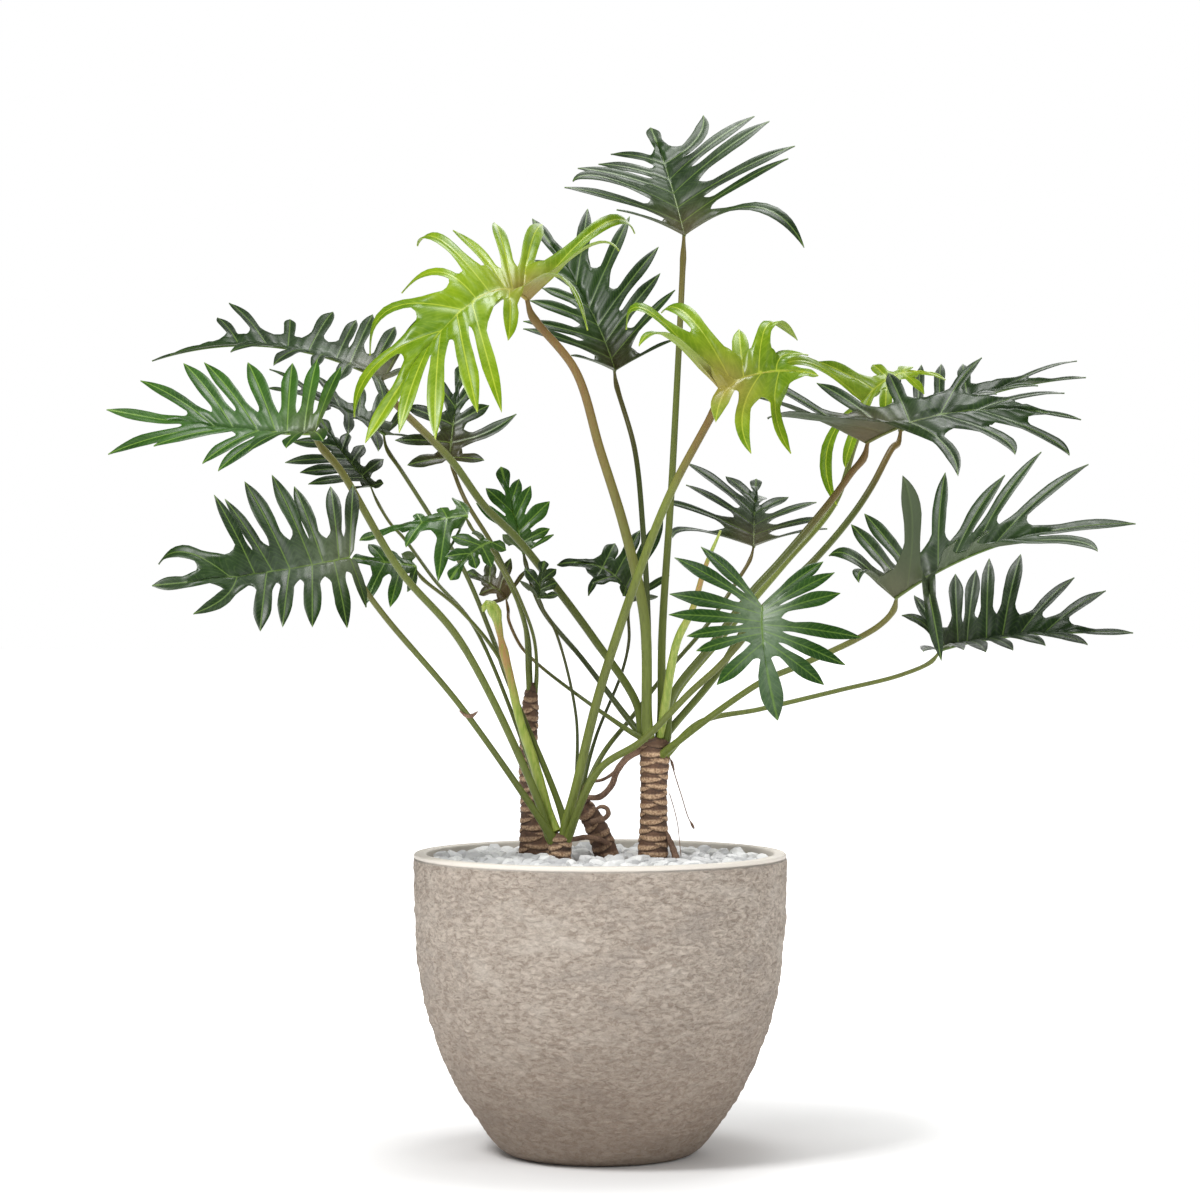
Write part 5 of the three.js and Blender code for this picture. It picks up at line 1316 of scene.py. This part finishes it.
def make_leaf_veins():
    """A leaf's lines: the vein along each lobe and the rib, the fine side veins that leave it at a
    slant, and the height of both."""
    sockets = [
        ("Vein", 0.01, 0, 1), ("Run", 0, 0, 1), ("Off", 0.01, 0, 1), ("Pitch", 0.0068, 0, 1),
    ]
    made, enter, leave = group("leaf_veins", sockets, ["Main", "Side", "Height"])
    wobble = noise(made, 90, 2)
    vein = between(made, enter.outputs["Vein"], 0.0004, 0.0012, 1, 0)
    rib = between(made, enter.outputs["Off"], 0.0010, 0.0026, 1, 0)
    main = maths(made, "MAXIMUM", vein, rib)
    slant = maths(made, "SUBTRACT", enter.outputs["Run"], times(made, enter.outputs["Vein"], 1.1))
    bent = maths(made, "ADD", slant, times(made, wobble, 0.004))
    phase = times(made, maths(made, "DIVIDE", bent, enter.outputs["Pitch"]), 2 * math.pi)
    side = between(made, maths(made, "SINE", phase), 0.55, 1.0)
    made.links.new(main, leave.inputs["Main"])
    made.links.new(side, leave.inputs["Side"])
    height = maths(made, "ADD", times(made, main, 0.8), times(made, side, -0.06))
    made.links.new(height, leave.inputs["Height"])
    return made


def make_leaf(name, deep, bright, line, under, sheen_colour, rough):
    """Leathery blade: two greens mottled together, paler veins, a painted silver reflection near
    the rib, a pink brown hub and a dull paler underside."""
    material, tree = new_material(name)
    growth = placed(tree, mottle, {"Broad Scale": 11, "Fine Scale": 75, "Fine Share": 0.3})
    lines = placed(tree, leaf_veins, {
        "Vein": value_of(tree, "vein"), "Run": value_of(tree, "run"), "Off": value_of(tree, "off"),
    })
    below = value_of(tree, "under")
    colour = blend(tree, growth.outputs["Value"], deep, bright)
    colour = blend(tree, value_of(tree, "shade"), colour, deep)
    colour = blend(tree, times(tree, lines.outputs["Side"], 0.1), colour, line)
    # Painted sheen: a silver reflection painted over the web near the rib
    gleam = value_of(tree, "gleam")
    sheen = times(tree, gleam, between(tree, growth.outputs["Fine"], 0.3, 0.6, 0.55, 0.95))
    colour = blend(tree, times(tree, sheen, 0.6), colour, sheen_colour)
    clear = between(tree, value_of(tree, "shade"), 0, 1, 0.6, 0.2)
    colour = blend(tree, times(tree, lines.outputs["Main"], clear), colour, line)
    colour = blend(tree, times(tree, below, 0.8), colour, under)
    colour = blend(tree, times(tree, value_of(tree, "blush"), 0.6), colour, (0.3, 0.13, 0.07))
    gloss = between(tree, growth.outputs["Fine"], 0.3, 0.7, rough - 0.05, rough + 0.07)
    gloss = maths(tree, "ADD", gloss, times(tree, below, 0.12))
    height = lines.outputs["Height"]
    return finish(material, colour, gloss, height, 0.18, 0.0004, Specular_IOR_Level=0.3)


def make_stalk():
    """Satin olive stalk: paler and yellower towards the sheath, pink brown under the blade,
    streaked along its length, and painted paler where it is lit and darker where it is in shade."""
    material, tree = new_material("stalk")
    streak = noise(tree, 420, 3, 0.6, drawn_out(tree, 0.12))
    broad = noise(tree, 9, 2)
    # Painted light and shade: a lit stalk is painted paler, a shaded one darker
    painted_light = value_of(tree, "painted_light")
    pale = maths(tree, "ADD", times(tree, painted_light, 0.5), 0.5, True)
    colour = blend(tree, pale, (0.022, 0.034, 0.012), (0.16, 0.195, 0.035))
    colour = blend(tree, between(tree, broad, 0.35, 0.7, 0, 0.35), colour, (0.07, 0.07, 0.02))
    colour = blend(tree, times(tree, value_of(tree, "sheath"), 0.35), colour, (0.2, 0.27, 0.035))
    colour = blend(tree, between(tree, streak, 0.45, 0.75, 0, 0.4), colour, (0.04, 0.055, 0.014))
    blush = times(tree, value_of(tree, "blush"), between(tree, streak, 0.3, 0.6, 0.75, 1))
    colour = blend(tree, blush, colour, (0.2, 0.085, 0.035))
    rough = between(tree, streak, 0.3, 0.7, 0.34, 0.5)
    return finish(material, colour, rough, streak, 0.12, 0.0004, Specular_IOR_Level=0.3)


def make_sheath():
    """Young rolled growth: yellow green with tan streaks and a browned tip."""
    material, tree = new_material("sheath")
    streak = noise(tree, 300, 3, 0.6, drawn_out(tree, 0.15))
    run = value_of(tree, "run")
    colour = blend(tree, between(tree, streak, 0.35, 0.65), (0.2, 0.29, 0.03), (0.33, 0.38, 0.07))
    dry = times(tree, between(tree, run, 0.5, 0.72), between(tree, run, 0.82, 0.9, 1, 0))
    tan = times(tree, dry, between(tree, streak, 0.35, 0.6, 0.4, 0.9))
    colour = blend(tree, tan, colour, (0.34, 0.17, 0.06))
    return finish(material, colour, 0.45, streak, 0.25, 0.0005)


def make_bark():
    """Brown bark with pale tan leaf scars, dark steps under them and a darker crown."""
    material, tree = new_material("bark")
    grain = placed(tree, mottle, {"Broad Scale": 40, "Fine Scale": 420, "Fine Share": 0.55})
    scar = value_of(tree, "scar")
    colour = blend(tree, grain.outputs["Value"], (0.05, 0.025, 0.014), (0.17, 0.09, 0.052))
    dry = between(tree, grain.outputs["Fine"], 0.35, 0.65)
    pale = blend(tree, dry, (0.27, 0.15, 0.08), (0.66, 0.46, 0.29))
    top = between(tree, value_of(tree, "high"), 0.9, 0.97)
    pale = blend(tree, top, pale, (0.09, 0.045, 0.022))
    colour = blend(tree, times(tree, scar, 0.95, True), colour, pale)
    colour = blend(tree, times(tree, value_of(tree, "step"), 0.8), colour, (0.03, 0.016, 0.01))
    height = maths(tree, "ADD", grain.outputs["Fine"], times(tree, scar, 0.3))
    rough = between(tree, grain.outputs["Fine"], 0.3, 0.7, 0.6, 0.85)
    return finish(material, colour, rough, height, 0.6, 0.0009)


def make_root():
    """Dull grey brown root, mottled, with a finely uneven skin."""
    material, tree = new_material("root")
    grain = placed(tree, mottle, {"Broad Scale": 60, "Fine Scale": 500, "Fine Share": 0.5})
    colour = blend(tree, grain.outputs["Value"], (0.1, 0.055, 0.035), (0.27, 0.165, 0.105))
    return finish(material, colour, 0.75, grain.outputs["Fine"], 0.5, 0.0007)


def make_pot():
    """Stone-look compound: grey brown with slanting broken relief and fine grit, browner low down,
    with a smooth cream rim."""
    material, tree = new_material("pot")
    place = place_of(tree)
    slanted = node(tree, "ShaderNodeMapping", {
        "Vector": place, "Rotation": (0.0, 0.6, 0.25), "Scale": (1.0, 1.0, 2.1),
    }).outputs[0]
    chips = noise(tree, 105, 6, 0.66, slanted, 0.5)
    grit = noise(tree, 420, 4, 0.7)
    cloud = noise(tree, 12, 4, 0.6, slanted, 0.4)
    rise = node(tree, "ShaderNodeSeparateXYZ", {0: place}).outputs[2]
    colour = blend(tree, between(tree, chips, 0.34, 0.66), (0.35, 0.28, 0.225), (0.66, 0.57, 0.485))
    colour = blend(tree, between(tree, cloud, 0.3, 0.5, 0.45, 0), colour, (0.74, 0.67, 0.59))
    colour = blend(tree, between(tree, cloud, 0.5, 0.68, 0, 0.5), colour, (0.4, 0.345, 0.3))
    colour = blend(tree, between(tree, grit, 0.45, 0.75, 0, 0.35), colour, (0.78, 0.7, 0.61))
    colour = blend(tree, between(tree, rise, 0.0, 0.26, 0.62, 0.0), colour, (0.3, 0.215, 0.155))
    rim = value_of(tree, "rim")
    colour = blend(tree, rim, colour, (0.72, 0.67, 0.6))
    height = maths(tree, "ADD", chips, times(tree, grit, 0.22))
    height = times(tree, height, between(tree, rim, 0.0, 0.9, 1.0, 0.04))
    rough = between(tree, rim, 0, 1, 0.9, 0.55)
    return finish(material, colour, rough, height, 1.0, 0.009)


def make_gravel():
    """White and grey marble chips: each has its own tone, cloudy veins and a matt, gritty face."""
    material, tree = new_material("gravel")
    cloud = placed(tree, mottle, {"Broad Scale": 70, "Fine Scale": 600, "Fine Share": 0.35})
    tone = value_of(tree, "tone")
    colour = blend(tree, tone, (0.5, 0.5, 0.51), (0.88, 0.88, 0.87))
    colour = blend(tree, times(tree, cloud.outputs["Value"], 0.3), colour, (0.55, 0.56, 0.57))
    return finish(material, colour, 0.7, cloud.outputs["Fine"], 0.4, 0.0008)


def make_soil():
    """Dark crumbly soil with paler flecks."""
    material, tree = new_material("soil")
    crumb = placed(tree, mottle, {"Broad Scale": 90, "Fine Scale": 500, "Fine Share": 0.5})
    colour = blend(tree, crumb.outputs["Value"], (0.014, 0.009, 0.006), (0.075, 0.05, 0.034))
    return finish(material, colour, 0.95, crumb.outputs["Fine"], 0.8, 0.002)


mottle = make_mottle()
leaf_veins = make_leaf_veins()
# Leaf finishes: deep and bright greens, veins, underside, the painted sheen's colour, roughness
finishes = {
    "dark": make_leaf("leaf_dark", (0.003, 0.013, 0.001), (0.012, 0.037, 0.003), (0.12, 0.2, 0.035),
                      (0.06, 0.082, 0.038), (0.23, 0.28, 0.21), 0.37),
    "mid": make_leaf("leaf_mid", (0.007, 0.034, 0.002), (0.028, 0.095, 0.005), (0.18, 0.31, 0.045),
                     (0.075, 0.11, 0.04), (0.24, 0.31, 0.22), 0.35),
    "lime": make_leaf("leaf_lime", (0.07, 0.15, 0.001), (0.19, 0.29, 0.002), (0.4, 0.47, 0.04),
                      (0.26, 0.34, 0.07), (0.4, 0.47, 0.22), 0.32),
    "stalk": make_stalk(), "sheath": make_sheath(), "bark": make_bark(), "root": make_root(),
    "pot": make_pot(), "gravel": make_gravel(), "soil": make_soil(),
}

# Camera, set before the plant so that it is there whatever follows
camera_data = bpy.data.cameras.new("viewer")
camera_data.sensor_width = SENSOR
camera_data.lens = SENSOR * VIEW_DISTANCE / (PICTURE_SIDE * PIXEL)
camera = bpy.data.objects.new("viewer", camera_data)
camera.location = (0, -VIEW_DISTANCE, VIEW_HEIGHT)
camera.rotation_euler = (math.pi / 2, 0, 0)
bpy.context.scene.collection.objects.link(camera)
bpy.context.scene.camera = camera

# The plant
add_piece("stone_pot", pot_solid(), finishes["pot"], ["pot"], 60)
add_piece("marble_chips", gravel_solid(), finishes["gravel"], ["gravel"], 0)
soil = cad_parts["soil"]
soil.data.materials.clear()
soil.data.materials.append(finishes["soil"])
for name in SCARS:
    add_piece("stem_" + name, trunk_solid(name), finishes["bark"], ["trunk_" + name])
shoot = stem_solid(YOUNG_SHOOT, 16, 60, 0.06, 2)
add_piece("shoot_young", shoot, finishes["sheath"], ["young_shoot"])
spear = stem_solid(ROLLED_LEAF, 16, 60, 0.05, 3)
add_piece("leaf_rolled", spear, finishes["sheath"], ["rolled_leaf"])
for name, rows in AERIAL_ROOTS.items():
    root = stem_solid(rows, 14, 64, 0.07, len(rows))
    add_piece("aerial_" + name, root, finishes["root"], [name])
for name, rows in SPARE_ROOTS.items():
    add_piece(name, stem_solid(rows, 8, 36, 0.1, len(rows)), finishes["root"])
for number, leaf in enumerate(LEAVES):
    name, tone = leaf["name"], leaf["tone"]
    blade = blade_solid(leaf, number * 17.3)
    add_piece(name + "_lobed_blade", blade, finishes[tone], [f"leaf_{name}_blade"], 70)
    stalk = stalk_solid(leaf)
    add_piece(name + "_round_stalk", stalk, finishes["stalk"], [f"leaf_{name}_stalk"])


# Floor and light
def make_floor():
    """A wide white floor that glows more the farther out it lies, so that it runs into the white
    surround and keeps a soft shadow round the pot."""
    material = bpy.data.materials.new("floor")
    material.use_nodes = True
    tree = material.node_tree
    shader = tree.nodes["Principled BSDF"]
    shader.inputs["Base Color"].default_value = (0.9, 0.9, 0.9, 1)
    shader.inputs["Roughness"].default_value = 0.95
    shader.inputs["Specular IOR Level"].default_value = 0.0
    far = node(tree, "ShaderNodeVectorMath", {0: place_of(tree)}, operation="LENGTH")
    glow = between(tree, far.outputs["Value"], 0.1, 1.4)
    tree.links.new(glow, shader.inputs["Emission Strength"])
    shader.inputs["Emission Color"].default_value = (1, 1, 1, 1)
    mesh = bpy.data.meshes.new("floor")
    reach = 40.0
    corners = [(x * reach, y * reach, -MM) for x, y in ((-1, -1), (1, -1), (1, 1), (-1, 1))]
    mesh.from_pydata(corners, [], [(0, 1, 2, 3)])
    mesh.materials.append(material)
    floor = bpy.data.objects.new("floor", mesh)
    bpy.context.scene.collection.objects.link(floor)


def add_light(name, place, size, power):
    """A soft square light that looks at the middle of the plant."""
    data = bpy.data.lights.new(name, "AREA")
    data.size = size
    data.energy = power
    light = bpy.data.objects.new(name, data)
    light.location = place
    target = np.array([0, 0, 0.7])
    direction = target - np.array(place)
    light.rotation_euler = (
        math.acos(-direction[2] / np.linalg.norm(direction)),
        0,
        math.atan2(direction[1], direction[0]) - math.pi / 2,
    )
    bpy.context.scene.collection.objects.link(light)


def make_sky():
    """An even white surround: full white where it is seen, softer where it lights the plant, and
    softer still where it is mirrored."""
    world = bpy.data.worlds.new("surround")
    world.use_nodes = True
    tree = world.node_tree
    tree.nodes.clear()
    seen = node(tree, "ShaderNodeBackground", {"Color": (1, 1, 1, 1), "Strength": 1.0})
    lit = node(tree, "ShaderNodeBackground", {"Color": (1, 1, 1, 1)})
    path = node(tree, "ShaderNodeLightPath")
    strength = between(tree, path.outputs["Is Glossy Ray"], 0, 1, 0.4, 0.1)
    tree.links.new(strength, lit.inputs["Strength"])
    both = node(tree, "ShaderNodeMixShader")
    out = node(tree, "ShaderNodeOutputWorld")
    tree.links.new(path.outputs["Is Camera Ray"], both.inputs[0])
    tree.links.new(lit.outputs[0], both.inputs[1])
    tree.links.new(seen.outputs[0], both.inputs[2])
    tree.links.new(both.outputs[0], out.inputs[0])
    bpy.context.scene.world = world


make_floor()
make_sky()
add_light("key", (-1.5, -1.5, 3.0), 0.8, 78)
add_light("fill", (2.4, -2.2, 1.8), 1.2, 22)
add_light("top", (0.3, 0.4, 3.2), 1.0, 40)
add_light("back", (0.8, 3.0, 2.2), 1.6, 22)
bpy.context.scene.view_settings.view_transform = "Standard"
